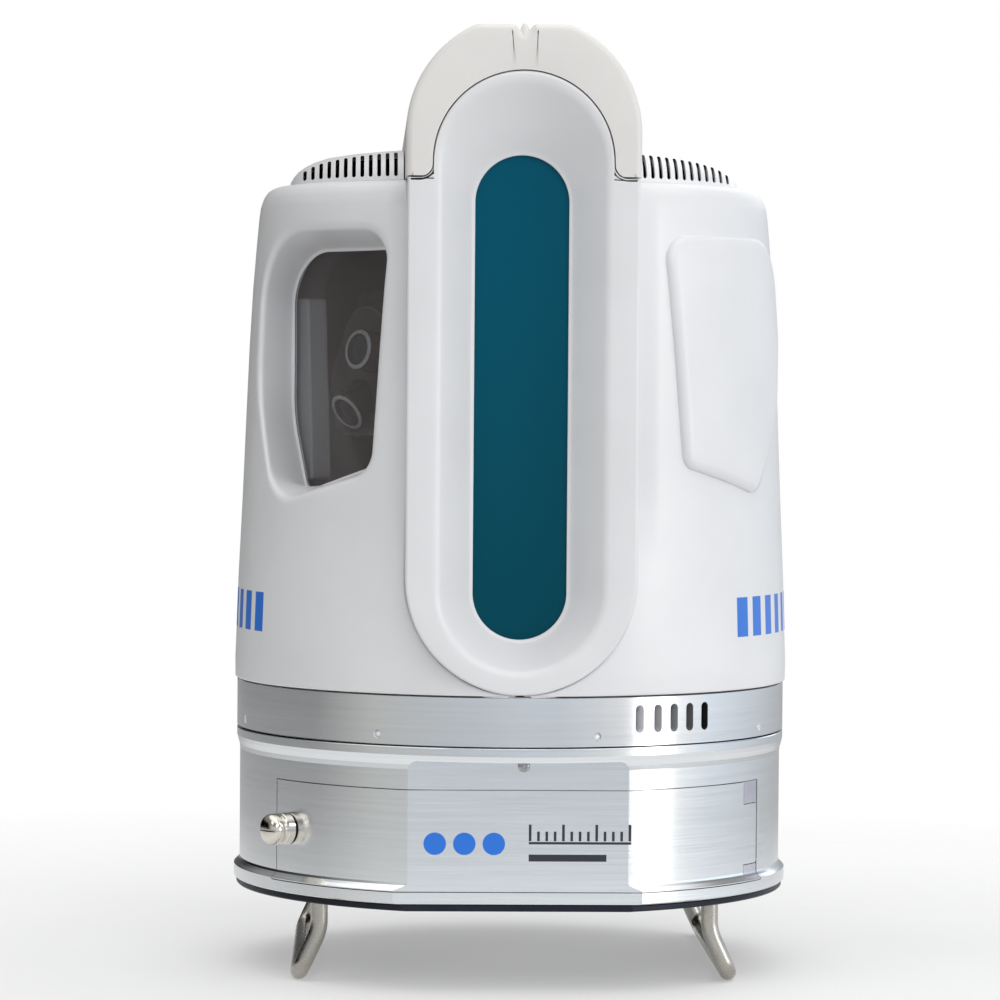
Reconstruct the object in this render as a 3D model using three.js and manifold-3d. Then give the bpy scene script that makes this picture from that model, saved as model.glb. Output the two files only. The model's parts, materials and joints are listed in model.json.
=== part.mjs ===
// Terrestrial laser scanner: a fixed base on two bent-rod feet carries a head that turns about a vertical axis.
// Millimetres, +Z up. The window faces -Y. The origin is on the head's axis, on the surface the feet stand on.
import * as THREE from 'three';
import { mergeVertices } from 'three/addons/utils/BufferGeometryUtils.js';
import Module from 'manifold-3d';

const wasm = await Module();
wasm.setup();

// ---- Driving dimensions ----
const GAP = 0.3; // clearance between neighbouring pieces
const FACETS = 48; // facets round the large turned parts
const MEDIUM_FACETS = 24; // facets round the bearings and the turntable
const SMALL_FACETS = 16; // facets round the small turned parts
const HOLE_FACETS = 10; // facets round holes, pins and screws

// Base
const LIP_R = 108.5;
const FLANGE_R = 107.5;
const WALL_R = 106.3;
const BASE_INNER_R = 96;
const BASE_INNER_Y = -89.7; // the inside is flat behind the pad
const PLATE_BOTTOM = 30.1;
const PLATE_TOP = 32.4;
const LIP_TOP = 38;
const WALL_BOTTOM = 40.6;
const WALL_TOP = 83;
const FLANGE_BOTTOM = 88;
const BASE_TOP = 91.5;
const DECK_BOTTOM = 86.5;
const PAD_Y = -98; // flat pad across the front of the base
const PAD = { half: 41.5, lowHalf: 47, step: 41, top: 86.2, corner: 3.9 };
const BEARING_HOLE_R = 50;

// Battery door, with angles from the front, positive to the right
const DOOR = { left: -58.5, right: 61.3, bottom: 37, top: 75.5, backR: 100.9, backY: -94.6 };
const RABBET_R = 99.5; // the flange that the door's seal bears on
const RABBET_Y = -93.2;
const BAY = { left: -50, right: 52, bottom: 40.2, top: 72.3 };
const HINGE = { angle: 60, radius: 103.9, pinR: 1.2, swing: 3.7, backSwing: 4.6 };
const BLOCK_TOP = { from: 55.2, to: DOOR.right, low: 66.6, high: DOOR.top };
const BLOCK_BOTTOM = { from: 55.2, to: DOOR.right, low: DOOR.bottom, high: 43.5 };
const BLOCK_REACH = 8.5; // the hinge blocks stay this close to the pin, so that the door's edge swings past them
const DOOR_SCREW = { angle: -54, z: 57, holeR: 3.4 };
const FLANGE_SCREW = { x: 2, z: 84.6 };
const SOCKET_X = 18; // power and data sockets at the back
const SOCKET_Z = 60;

// Feet
const ROD_R = 3.25;
const FOOT_TOP_X = 74;
const FOOT_BAR_X = 81.7;
const FOOT_Y = 69.5;
const ROD_END_Z = 36.5;
const FOOT_FLAT = 0.45; // how far the underside of the bar is worn flat

// Head
const RING_BOTTOM = 92;
const RING_TOP = 110.6;
const HOUSING_BOTTOM = 110.9;
const SHELL = 3; // wall of the white mouldings
const SHOULDER_TOP = 302.5;
const HOUSING_PROFILE = [
  [108.3, HOUSING_BOTTOM], [108.4, 118], [106.6, 166], [104.2, 224], [101.7, 270], [99.6, 293.5],
  [97.6, 299.6], [92, SHOULDER_TOP],
];
const HOUSING_INSIDE = [[105, 109], [103.4, 166], [98.6, 270], [95.6, 296], [91, SHOULDER_TOP - SHELL]];
const SPINE_HALF = 42.8; // the arched spine between the two housings
const SPINE_ARC_Z = 154.2;
const SPINE_FRONT = -110;
const SPINE_REAR = 109;
const BEZEL_TOP = 302.2;
const NECK_HALF = 33.3;
const NECK_ARC_Z = 308.3;
const NECK_CORNER = 5;
const MOULDING_DEPTH = 28; // front bezel and rear panel, front to back
const RIM = { half: 31, low: 150.5, high: 307 };
const FLOOR = { half: 18.6, low: 148.6, high: 293.8, y: -94 };
const WINDOW = { half: 17.5, low: 148.6, high: 293.8, y: -92 };
const CAP_R = 43.5;
const CAP_ARC_Z = 318.9;
const CAP_TOP = 358.7;
const GROOVE = { half: 3.6, depth: 4 };

// Head ring
const RING_INNER_R = 100.4;
const RING_SLOTS = { angles: [24.8, 29, 32.9, 36.9, 41], half: 1.75, low: 98.6, high: 105.6 };
const RING_SCREWS = { count: 8, start: 15.7, radius: 1.3, z: 95.8 };

// Domed vent covers on the shoulders, as (radius, z) from the rim inwards, and the fans under them
const DOME = [[88.2, 302.8], [86.6, 306.4], [82, 310.7], [75, 313.8], [41, 316.9]];
const DOME_INSIDE = [[41, 314.4], [74, 311.4], [82.4, 306.6], [84.9, 302.8]];
const VENT = { first: 46.9, pitch: 3.17, count: 12, half: 0.7, sill: 304.2, margin: 2.5, inner: 44, facets: 32 };
const FAN = { x: 66, half: 20, low: 287, high: 298.6, boreR: 18.4, hubR: 7.5, holeR: 18, blades: 7 };

// Rear panel: screen and keys
const SCREEN = { half: 30, low: 214, high: 262 };
const KEY_R = 4.2;
const KEY_Z = 198;
const KEYS = [{ name: 'key_power', x: -20 }, { name: 'key_menu', x: 0 }, { name: 'key_enter', x: 20 }];

// Mirror axis, along X
const MIRROR_Y = -36;
const MIRROR_Z = 180;
const MIRROR_R = 22;

// Camera pocket in the left housing, in a frame whose normal points out at POCKET_ANGLE
const POCKET_ANGLE = -50.5;
const PANE_N = 79;
const POCKET_RIM = [
  [35.8, 284.6, 12], [-39.2, 284.6, 30], [-39.2, 226.4, 45], [-18.6, 179.7, 18], [32.8, 192.4, 11],
];
const POCKET_FLOOR = [
  [25, 277.8, 8], [-39.6, 277.8, 22], [-39.8, 213.2, 60], [-30.3, 183.7, 4], [23, 197, 6],
];
const CAMERA_N = 67;
const CAMERA_POD = [[3, 256, 14], [-20, 256, 14], [-34, 226, 12], [-30, 206, 8], [3, 206, 10]];
const CAMERA_SHROUD = [[-34.8, 259, 2], [-44, 259, 3], [-44, 212, 25], [-36.5, 188.5, 3], [-31.5, 188.5, 2]];
// The two cameras: their place in the pocket's frame, and how far each one leans downwards
const CAMERAS = [
  { name: 'camera_upper', u: -7.5, z: 238.5, lean: -8 },
  { name: 'camera_lower', u: -15, z: 218, lean: 32 },
];
const COVER_ANGLE = 54;
const COVER_OUTLINE = [
  [35.5, 283, 20], [-38, 282.5, 10], [-33.2, 195.8, 6], [9, 184.8, 7], [32.6, 215.5, 28], [39, 245, 24],
];

// Colours, roughness and metalness
const WHITE = [0xdcdcda, 0.42, 0];
const CAP_WHITE = [0xd8d4cf, 0.45, 0];
const ALUMINIUM = [0xb4b8bb, 0.34, 1];
const BASE_METAL = [0xa9adaf, 0.36, 1];
const DARK_METAL = [0x33363c, 0.5, 0.6];
const STEEL = [0x9a9a98, 0.3, 1];
const CHROME = [0xd6d4d0, 0.12, 1];
const BLACK = [0x161616, 0.6, 0];
const TEAL = [0x06526a, 0.08, 0.1];
const SMOKE = [0x2b2827, 0.1, 0];
const GREY = [0x62666a, 0.5, 0];
const MIRROR_FINISH = [0xe2e6ea, 0.04, 1];
const BOARD_GREEN = [0x1d5a3a, 0.6, 0];
const BATTERY_GREY = [0x3c4046, 0.6, 0];
const COPPER = [0xb0713c, 0.4, 1];

// ---- Shape helpers ----
function signedVolume(positions, triangles) {
  let volume = 0;
  const a = new THREE.Vector3();
  const b = new THREE.Vector3();
  const c = new THREE.Vector3();
  for (let i = 0; i < triangles.length; i += 3) {
    a.fromArray(positions, triangles[i] * 3);
    b.fromArray(positions, triangles[i + 1] * 3);
    c.fromArray(positions, triangles[i + 2] * 3);
    volume += a.dot(b.cross(c)) / 6;
  }
  return volume;
}

function toSolid(geometry) {
  const bare = geometry.clone();
  bare.deleteAttribute('normal');
  bare.deleteAttribute('uv');
  const merged = mergeVertices(bare, 1e-4);
  const positions = Float32Array.from(merged.attributes.position.array);
  let triangles = [];
  for (let i = 0; i < merged.index.count; i += 3) {
    const [a, b, c] = [0, 1, 2].map((k) => merged.index.getX(i + k));
    if (a !== b && b !== c && c !== a) triangles.push(a, b, c);
  }
  if (signedVolume(positions, triangles) < 0) triangles = triangles.reverse();
  const mesh = new wasm.Mesh({ numProp: 3, vertProperties: positions, triVerts: Uint32Array.from(triangles) });
  return new wasm.Manifold(mesh);
}

function toGeometry(solid) {
  const mesh = solid.getMesh();
  const geometry = new THREE.BufferGeometry();
  geometry.setAttribute('position', new THREE.BufferAttribute(Float32Array.from(mesh.vertProperties), 3));
  geometry.setIndex(new THREE.BufferAttribute(Uint32Array.from(mesh.triVerts), 1));
  geometry.computeVertexNormals();
  return geometry;
}

function join(...solids) {
  return solids.reduce((whole, next) => whole.add(next));
}

function cut(solid, ...tools) {
  return tools.reduce((rest, tool) => rest.subtract(tool), solid);
}

// Turns a closed (radius, z) profile about the Z axis.
function lathe(profile, facets = SMALL_FACETS) {
  const points = profile.map(([r, z]) => new THREE.Vector2(r, z));
  points.push(points[0].clone());
  return toSolid(new THREE.LatheGeometry(points, facets).rotateX(Math.PI / 2));
}

// Turns a closed (radius, x) profile about a line along X.
function latheX(profile, y, z, facets = SMALL_FACETS) {
  const points = profile.map(([r, x]) => new THREE.Vector2(r, x));
  points.push(points[0].clone());
  return toSolid(new THREE.LatheGeometry(points, facets).rotateZ(-Math.PI / 2).translate(0, y, z));
}

// Turns a closed (radius, y) profile about a line along Y.
function latheY(profile, x, z, facets = SMALL_FACETS) {
  const points = profile.map(([r, y]) => new THREE.Vector2(r, y));
  points.push(points[0].clone());
  return toSolid(new THREE.LatheGeometry(points, facets).translate(x, 0, z));
}

function disc(radius, low, high, x = 0, y = 0, facets = SMALL_FACETS) {
  return lathe([[0, low], [radius, low], [radius, high], [0, high]], facets).translate([x, y, 0]);
}

function discX(radius, low, high, y, z, facets = SMALL_FACETS) {
  return latheX([[0, low], [radius, low], [radius, high], [0, high]], y, z, facets);
}

function discY(radius, low, high, x, z, facets = SMALL_FACETS) {
  return latheY([[0, low], [radius, low], [radius, high], [0, high]], x, z, facets);
}

function box(x0, x1, y0, y1, z0, z1) {
  const geometry = new THREE.BoxGeometry(x1 - x0, y1 - y0, z1 - z0);
  return toSolid(geometry.translate((x0 + x1) / 2, (y0 + y1) / 2, (z0 + z1) / 2));
}

function extruded(shape, depth, curveSegments) {
  return new THREE.ExtrudeGeometry(shape, { depth, bevelEnabled: false, curveSegments });
}

function prismZ(shape, low, high, curveSegments = 8) {
  return toSolid(extruded(shape, high - low, curveSegments).translate(0, 0, low));
}

// Extrudes an outline drawn in X and Z along Y.
function prismY(shape, front, back, curveSegments = 8) {
  return toSolid(extruded(shape, back - front, curveSegments).rotateX(Math.PI / 2).translate(0, back, 0));
}

// Extrudes an outline drawn in Y and Z along X.
function prismX(shape, left, right, curveSegments = 8) {
  const turn = new THREE.Matrix4().makeBasis(
    new THREE.Vector3(0, 1, 0),
    new THREE.Vector3(0, 0, 1),
    new THREE.Vector3(1, 0, 0),
  );
  return toSolid(extruded(shape, right - left, curveSegments).applyMatrix4(turn).translate(left, 0, 0));
}

// The points round a closed outline, without a repeated one.
function ring(shape, segments) {
  const points = shape.getPoints(segments);
  return points.filter((point, i) => point.distanceTo(points.at(i - 1)) > 1e-6);
}

// A closed body between two outlines with the same number of points.
function loft(first, second, place, segments = 2) {
  const ends = [first, second].map((shape) => ring(shape, segments));
  const count = ends[0].length;
  const positions = [];
  ends.forEach((points, end) => points.forEach((point) => positions.push(...place(point.x, point.y, end))));
  const triangles = [];
  for (let i = 0; i < count; i += 1) {
    const next = (i + 1) % count;
    triangles.push(i, next, count + i, next, count + next, count + i);
  }
  const faces = THREE.ShapeUtils.triangulateShape(ends[0], []);
  faces.forEach(([a, b, c]) => triangles.push(a, c, b, count + a, count + b, count + c));
  const geometry = new THREE.BufferGeometry();
  geometry.setAttribute('position', new THREE.Float32BufferAttribute(positions, 3));
  geometry.setIndex(triangles);
  return toSolid(geometry);
}

// An outline through the given corners [x, y, radius], counter-clockwise, each one rounded.
function roundedShape(corners) {
  const shape = new THREE.Shape();
  corners.forEach(([x, y, radius], i) => {
    const here = new THREE.Vector2(x, y);
    const back = new THREE.Vector2(...corners.at(i - 1)).sub(here).normalize();
    const onward = new THREE.Vector2(...corners[(i + 1) % corners.length]).sub(here).normalize();
    const half = Math.acos(THREE.MathUtils.clamp(back.dot(onward), -1, 1)) / 2;
    const start = here.clone().addScaledVector(back, radius / Math.tan(half));
    const end = here.clone().addScaledVector(onward, radius / Math.tan(half));
    const centre = here.clone().addScaledVector(back.clone().add(onward).normalize(), radius / Math.sin(half));
    if (i === 0) shape.moveTo(start.x, start.y);
    else shape.lineTo(start.x, start.y);
    const from = start.sub(centre).angle();
    shape.absarc(centre.x, centre.y, radius, from, end.sub(centre).angle(), back.cross(onward) > 0);
  });
  shape.closePath();
  return shape;
}

function grown(corners, by) {
  const middle = corners.reduce((sum, [x, y]) => [sum[0] + x / corners.length, sum[1] + y / corners.length], [0, 0]);
  return corners.map(([x, y, r]) => [x + by * Math.sign(x - middle[0]), y + by * Math.sign(y - middle[1]), r + by]);
}

function rectangle(x0, x1, y0, y1, radius) {
  return roundedShape([[x1, y1, radius], [x0, y1, radius], [x0, y0, radius], [x1, y0, radius]]);
}

function stadium(half, low, high) {
  const shape = new THREE.Shape();
  shape.absarc(0, low, half, Math.PI, 2 * Math.PI);
  shape.absarc(0, high, half, 0, Math.PI);
  shape.closePath();
  return shape;
}

function radians(degrees) {
  return THREE.MathUtils.degToRad(degrees);
}

// The point at an angle from the front and a distance from the head's axis.
function around(angle, radius) {
  return [radius * Math.sin(radians(angle)), -radius * Math.cos(radians(angle))];
}

// A wedge of the round body between two angles from the front.
function sector(from, to, low, high, reach = 150) {
  const shape = new THREE.Shape();
  shape.moveTo(0, 0);
  const steps = Math.ceil((to - from) / 30);
  for (let i = 0; i <= steps; i += 1) shape.lineTo(...around(from + ((to - from) * i) / steps, reach));
  shape.closePath();
  return prismZ(shape, low, high);
}

// Puts (u, z, n) of a frame that faces out at an angle from the front into the object's own frame.
function facing(angle) {
  const out = around(angle, 1);
  return (u, z, n) => [out[0] * n - out[1] * u, out[1] * n + out[0] * u, z];
}

// A prism along the outward normal of such a frame, from distance near to distance far.
function facingPrism(angle, corners, near, far) {
  const place = facing(angle);
  const shape = roundedShape(corners);
  return loft(shape, shape, (u, z, end) => place(u, z, end ? far : near));
}

// A barrel turned from [radius, distance] rows about (u, z, n), leaning downwards by some degrees.
function facingBarrel(angle, { u, z, lean }, n, profile, facets = SMALL_FACETS) {
  const points = profile.map(([r, along]) => new THREE.Vector2(r, along));
  points.push(points[0].clone());
  const barrel = new THREE.LatheGeometry(points, facets).rotateX(Math.PI + radians(lean)).rotateZ(radians(angle));
  const [x, y] = facing(angle)(u, z, n);
  return toSolid(barrel.translate(x, y, z));
}

// ---- Scene graph ----
const group = new THREE.Group();

function add(name, solid, [color, roughness, metalness], parent = group) {
  const material = new THREE.MeshStandardMaterial({ color, roughness, metalness });
  const mesh = new THREE.Mesh(toGeometry(solid), material);
  mesh.name = name;
  parent.add(mesh);
  return mesh;
}

// ---- Base ----
// The milled flat: its top corners are rounded, and it widens where it meets the lip.
function padSpace() {
  const { half, lowHalf, step, top, corner } = PAD;
  const shape = new THREE.Shape();
  shape.moveTo(-lowHalf, 0);
  shape.lineTo(lowHalf, 0);
  shape.lineTo(lowHalf, step);
  shape.lineTo(half, step);
  shape.absarc(half - corner, top - corner, corner, 0, Math.PI / 2);
  shape.absarc(corner - half, top - corner, corner, Math.PI / 2, Math.PI);
  shape.lineTo(-half, step);
  shape.lineTo(-lowHalf, step);
  shape.closePath();
  return prismY(shape, -120, PAD_Y, 3);
}

function baseEnvelope() {
  const outside = lathe([
    [0, PLATE_TOP + GAP], [LIP_R, PLATE_TOP + GAP], [LIP_R, LIP_TOP], [WALL_R, WALL_BOTTOM],
    [WALL_R, WALL_TOP], [FLANGE_R, FLANGE_BOTTOM], [FLANGE_R, BASE_TOP], [0, BASE_TOP],
  ], FACETS);
  return cut(outside, padSpace());
}

// A round core with a flat front, used for the inside of the wall, the door's back and its seal.
function core(radius, frontY, low, high) {
  return cut(disc(radius, low, high, 0, 0, FACETS), box(-120, 120, -150, frontY, low - 1, high + 1));
}

function hingeCylinder(radius, low, high, facets = HOLE_FACETS) {
  const [x, y] = around(HINGE.angle, HINGE.radius);
  return disc(radius, low, high, x, y, facets);
}

function footHoles(radius, low, high) {
  const holes = [];
  for (const x of [-FOOT_TOP_X, FOOT_TOP_X]) {
    for (const y of [-FOOT_Y, FOOT_Y]) holes.push(disc(radius, low, high, x, y, HOLE_FACETS));
  }
  return holes;
}

function screwHole() {
  return disc(DOOR_SCREW.holeR, 80, 120, 0, 0, HOLE_FACETS)
    .rotate([90, 0, DOOR_SCREW.angle]).translate([0, 0, DOOR_SCREW.z]);
}

function baseHousing() {
  const doorWedge = sector(DOOR.left, DOOR.right, DOOR.bottom, DOOR.top);
  const pocket = cut(doorWedge, core(RABBET_R, RABBET_Y, 0, 100));
  const bay = sector(BAY.left, BAY.right, BAY.bottom, BAY.top);
  const sockets = [-SOCKET_X, SOCKET_X].map((x) => discY(8, 85, 120, x, SOCKET_Z, HOLE_FACETS));
  const flangeScrewHole = discY(1.5, -104, -94.5, FLANGE_SCREW.x, FLANGE_SCREW.z, HOLE_FACETS);
  return cut(
    baseEnvelope(),
    core(BASE_INNER_R, BASE_INNER_Y, 0, DECK_BOTTOM),
    disc(BEARING_HOLE_R, 80, 100, 0, 0, MEDIUM_FACETS),
    pocket,
    bay,
    screwHole(),
    flangeScrewHole,
    hingeCylinder(HINGE.swing, DOOR.bottom, DOOR.top),
    hingeCylinder(HINGE.backSwing, DOOR.bottom + 3, DOOR.top - 3).intersect(core(101, -200, 0, 100)),
    ...sockets,
    ...footHoles(ROD_R + GAP, 0, ROD_END_Z + GAP),
  );
}

function bottomPlate() {
  const plate = lathe([
    [20.3, PLATE_BOTTOM], [FLANGE_R, PLATE_BOTTOM], [FLANGE_R, PLATE_TOP], [20.3, PLATE_TOP],
  ], FACETS);
  return cut(plate, box(-PAD.lowHalf, PAD.lowHalf, -120, PAD_Y - 0.5, 0, 50), ...footHoles(ROD_R + GAP, 0, 50));
}

// The threaded bush for a 5/8 inch tripod screw; its lower face is the tripod face.
function tripodBush() {
  return lathe([[7.3, 28.5], [20, 28.5], [20, 32.7], [24, 32.7], [24, 40], [7.3, 40]], MEDIUM_FACETS);
}

function batteryCradle() {
  const tray = box(-58, 58, -75, -43, PLATE_TOP + GAP, 40.7);
  return cut(tray, box(-54, -4, -71, -47, 36, 50), box(4, 54, -71, -47, 36, 50));
}

function battery(side) {
  const low = Math.min(side * 3, side * 57);
  const high = Math.max(side * 3, side * 57);
  return prismX(rectangle(-74, -44, 41, 71.5, 3), low, high, 3);
}

// One strand of a foot, from the base down to the bar: straight, bent out, straight, and bent under.
function strand([a, b, c, d, e, f, g]) {
  return [
    new THREE.LineCurve3(a, b), new THREE.QuadraticBezierCurve3(b, c, d),
    new THREE.LineCurve3(d, e), new THREE.QuadraticBezierCurve3(e, f, g),
  ];
}

function reversed(curve) {
  if (curve.v0) return new THREE.QuadraticBezierCurve3(curve.v2, curve.v1, curve.v0);
  return new THREE.LineCurve3(curve.v2, curve.v1);
}

function foot(side) {
  const path = new THREE.CurvePath();
  const point = (x, y, z) => new THREE.Vector3(x * side, y, z);
  const bend = 4;
  const corner = 9;
  const kneeZ = 19.5;
  const barZ = ROD_R - FOOT_FLAT;
  const front = [
    point(FOOT_TOP_X, -FOOT_Y, ROD_END_Z), point(FOOT_TOP_X, -FOOT_Y, kneeZ + bend),
    point(FOOT_TOP_X, -FOOT_Y, kneeZ), point(FOOT_TOP_X + 1.9, -FOOT_Y, kneeZ - bend),
    point(FOOT_BAR_X - 2.6, -FOOT_Y, barZ + 6), point(FOOT_BAR_X, -FOOT_Y, barZ),
    point(FOOT_BAR_X, -FOOT_Y + corner, barZ),
  ];
  const rear = front.map((p) => new THREE.Vector3(p.x, -p.y, p.z));
  const frontStrand = strand(front);
  const rearStrand = strand(rear);
  frontStrand.forEach((curve) => path.add(curve));
  path.add(new THREE.LineCurve3(front.at(-1), rear.at(-1)));
  rearStrand.reverse().forEach((curve) => path.add(reversed(curve)));
  const section = new THREE.Shape().absarc(0, 0, ROD_R, 0, 2 * Math.PI);
  const rod = new THREE.ExtrudeGeometry(section, { steps: 38, curveSegments: 4, extrudePath: path });
  return cut(toSolid(rod), box(-120, 120, -120, 120, -10, 0));
}

function hingeBlock({ from, to, low, high }) {
  const wedge = sector(from + 0.15, to - 0.15, low + 0.2, high - 0.2);
  const body = cut(baseEnvelope().intersect(wedge), core(RABBET_R + GAP, -200, 0, 100));
  const knuckle = body.intersect(hingeCylinder(BLOCK_REACH, 0, 100, MEDIUM_FACETS));
  return cut(knuckle, hingeCylinder(HINGE.pinR + GAP, 0, 100));
}

function basePieces() {
  add('base_housing', baseHousing(), BASE_METAL);
  add('bottom_plate', bottomPlate(), DARK_METAL);
  add('tripod_bush', tripodBush(), STEEL);
  add('foot_left', foot(-1), STEEL);
  add('foot_right', foot(1), STEEL);
  add('battery_cradle', batteryCradle(), BLACK);
  add('battery_left', battery(-1), BATTERY_GREY);
  add('battery_right', battery(1), BATTERY_GREY);
  add('pan_motor_stator', lathe([[25, 48], [40, 48], [40, 80], [25, 80]]), COPPER);
  add('pan_bearing_outer', lathe([[41, 82.5], [49.7, 82.5], [49.7, 91.2], [41, 91.2]], MEDIUM_FACETS), STEEL);
  add('slip_ring', lathe([[0, 41], [14, 41], [14, 44], [8, 44], [8, 76], [0, 76]]), BLACK);
  add('hinge_block_top', hingeBlock(BLOCK_TOP), BASE_METAL);
  add('hinge_block_bottom', hingeBlock(BLOCK_BOTTOM), BASE_METAL);
  add('hinge_pin', hingeCylinder(HINGE.pinR, DOOR.bottom + 0.5, DOOR.top - 0.5), STEEL);
  for (const [name, x] of [['power_socket', -SOCKET_X], ['data_socket', SOCKET_X]]) {
    const profile = [[0, 92], [7.7, 92], [7.7, 106.6], [10, 106.6], [10, 108.4], [7, 109], [0, 109]];
    add(name, latheY(profile, x, SOCKET_Z, HOLE_FACETS), BLACK);
  }
  const screwProfile = [
    [0, -101.5], [1, -102.1], [2.2, -101.5], [2.2, -98.3], [1.2, -98.3], [1.2, -95.5], [0, -95.5],
  ];
  const screw = latheY(screwProfile, FLANGE_SCREW.x, FLANGE_SCREW.z, HOLE_FACETS);
  add('flange_screw', cut(screw, box(-10, 10, -120, -90, PAD.top - 0.25, 100)), STEEL);
}

// ---- Battery door and its captive screw ----
function batteryDoor() {
  const wedge = sector(DOOR.left + 0.16, DOOR.right - 0.16, DOOR.bottom + GAP, DOOR.top - GAP);
  const blockTop = hingeCylinder(BLOCK_REACH + GAP, BLOCK_TOP.low - 0.1, 90, MEDIUM_FACETS);
  const blockBottom = hingeCylinder(BLOCK_REACH + GAP, 20, BLOCK_BOTTOM.high + 0.1, MEDIUM_FACETS);
  const plate = cut(baseEnvelope().intersect(wedge), core(DOOR.backR, DOOR.backY, 0, 100));
  return cut(plate, blockTop, blockBottom, screwHole(), hingeCylinder(HINGE.pinR + GAP, 0, 100));
}

function doorGasket() {
  const band = cut(core(100.6, -94.3, 37, 76), core(99.8, -93.5, 30, 80));
  const frame = cut(sector(-51.8, 54.6, 38.2, 74.2), sector(-49.8, 52.4, 40.4, 72));
  return band.intersect(frame);
}

// Knurled head, neck and shank, turned and then laid along the door's normal.
function doorScrew() {
  const profile = [
    [0, 92], [3, 92.6], [3, 106.7], [6, 106.7], [6, 110.2], [5.2, 110.8], [5.2, 111.6],
    [5.9, 112.2], [5.9, 114.4], [4.6, 116.2], [0, 117.3],
  ];
  const turned = lathe(profile);
  const slot = box(-7, 7, -0.5, 0.5, 116.2, 119);
  return cut(turned, slot).rotate([90, 0, DOOR_SCREW.angle]).translate([0, 0, DOOR_SCREW.z]);
}

function doorPieces() {
  add('battery_door', batteryDoor(), BASE_METAL);
  add('door_gasket', doorGasket(), BLACK);
  add('door_screw', doorScrew(), CHROME);
}

// ---- Head: turntable, ring and frame ----
function headRing() {
  const body = lathe([
    [RING_INNER_R, RING_BOTTOM], [FLANGE_R, RING_BOTTOM], [FLANGE_R, RING_TOP], [RING_INNER_R, RING_TOP],
  ], FACETS);
  const outline = stadium(RING_SLOTS.half, RING_SLOTS.low, RING_SLOTS.high);
  const slot = extruded(outline, 20, 2).rotateX(Math.PI / 2).translate(0, -95, 0);
  const slots = RING_SLOTS.angles.map((angle) => toSolid(slot.clone().rotateZ(radians(angle))));
  const { radius, count, start, z } = RING_SCREWS;
  const dimple = new THREE.CylinderGeometry(radius, radius, 4, 8).translate(0, -FLANGE_R - 1.1, z);
  const dimples = [];
  for (let i = 0; i < count; i += 1) {
    dimples.push(toSolid(dimple.clone().rotateZ(radians(start + (i * 360) / count))));
  }
  return cut(body, ...slots, ...dimples);
}

function turntable() {
  return lathe([
    [9, 46], [15, 46], [15, 81], [29.6, 81], [29.6, 92.2], [100, 92.2], [100, 98], [24, 98], [24, 104], [9, 104],
  ], MEDIUM_FACETS);
}

function sidePlate(side, boreR) {
  const outline = rectangle(-62, 62, 98.4, 296, 10);
  const plate = prismX(outline, Math.min(side * 36, side * 40), Math.max(side * 36, side * 40), 2);
  const lightening = prismX(rectangle(-44, 44, 222, 278, 12), -60, 60, 2);
  const rearHole = prismX(rectangle(6, 44, 130, 200, 10), -60, 60, 2);
  return cut(plate, discX(boreR, -60, 60, MIRROR_Y, MIRROR_Z), lightening, rearHole);
}

// ---- Head: white mouldings ----
function housingSolid(profile, offset = 0) {
  const side = profile.map(([r, z]) => [r + offset, z]);
  return lathe([[0, side[0][1]], ...side, [0, side.at(-1)[1]]], FACETS);
}

// The space the arched spine takes between the two housings, front to back.
function spineSpace() {
  const half = SPINE_HALF + GAP + 0.1;
  const arch = stadium(half, SPINE_ARC_Z, 400);
  return join(prismY(arch, -130, 130, 9), box(-11.5, 11.5, -130, 130, 100, 130));
}

function pocketSpace() {
  const place = facing(POCKET_ANGLE);
  const floor = roundedShape(POCKET_FLOOR);
  const rim = roundedShape(POCKET_RIM);
  const funnel = loft(floor, rim, (u, z, end) => place(u, z, end ? 99 : PANE_N - 0.5));
  return join(funnel, facingPrism(POCKET_ANGLE, POCKET_RIM, 98.9, 125));
}

function pocketWalls() {
  const place = facing(POCKET_ANGLE);
  const floor = roundedShape(grown(POCKET_FLOOR, 2.2));
  const rim = roundedShape(grown(POCKET_RIM, 2.2));
  const funnel = loft(floor, rim, (u, z, end) => place(u, z, end ? 99 : PANE_N));
  return join(funnel, facingPrism(POCKET_ANGLE, grown(POCKET_RIM, 2.2), 98.9, 125));
}

function housings() {
  const shell = cut(housingSolid(HOUSING_PROFILE), housingSolid(HOUSING_INSIDE), spineSpace());
  const fanHole = disc(FAN.holeR, 290, 310, FAN.x, 0);
  const right = cut(shell.intersect(box(0, 200, -200, 200, 0, 400)), fanHole);
  const walls = cut(pocketWalls().intersect(housingSolid(HOUSING_PROFILE)), spineSpace());
  const leftShell = shell.intersect(box(-200, 0, -200, 200, 0, 400));
  const left = cut(join(leftShell, walls), pocketSpace(), fanHole.mirror([1, 0, 0]));
  return { left, right };
}

function bezelOutline(extra = 0) {
  const half = SPINE_HALF;
  const neck = NECK_HALF + extra;
  const corner = NECK_CORNER - extra;
  const shelf = BEZEL_TOP + extra;
  const shape = new THREE.Shape();
  shape.absarc(0, SPINE_ARC_Z, half, Math.PI, 2 * Math.PI);
  shape.lineTo(half, shelf);
  shape.absarc(neck + corner, shelf + corner, corner, -Math.PI / 2, -Math.PI, true);
  shape.absarc(0, NECK_ARC_Z, neck, 0, Math.PI);
  shape.absarc(-neck - corner, shelf + corner, corner, 0, -Math.PI / 2, true);
  shape.lineTo(-half, shelf);
  shape.closePath();
  return shape;
}

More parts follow.
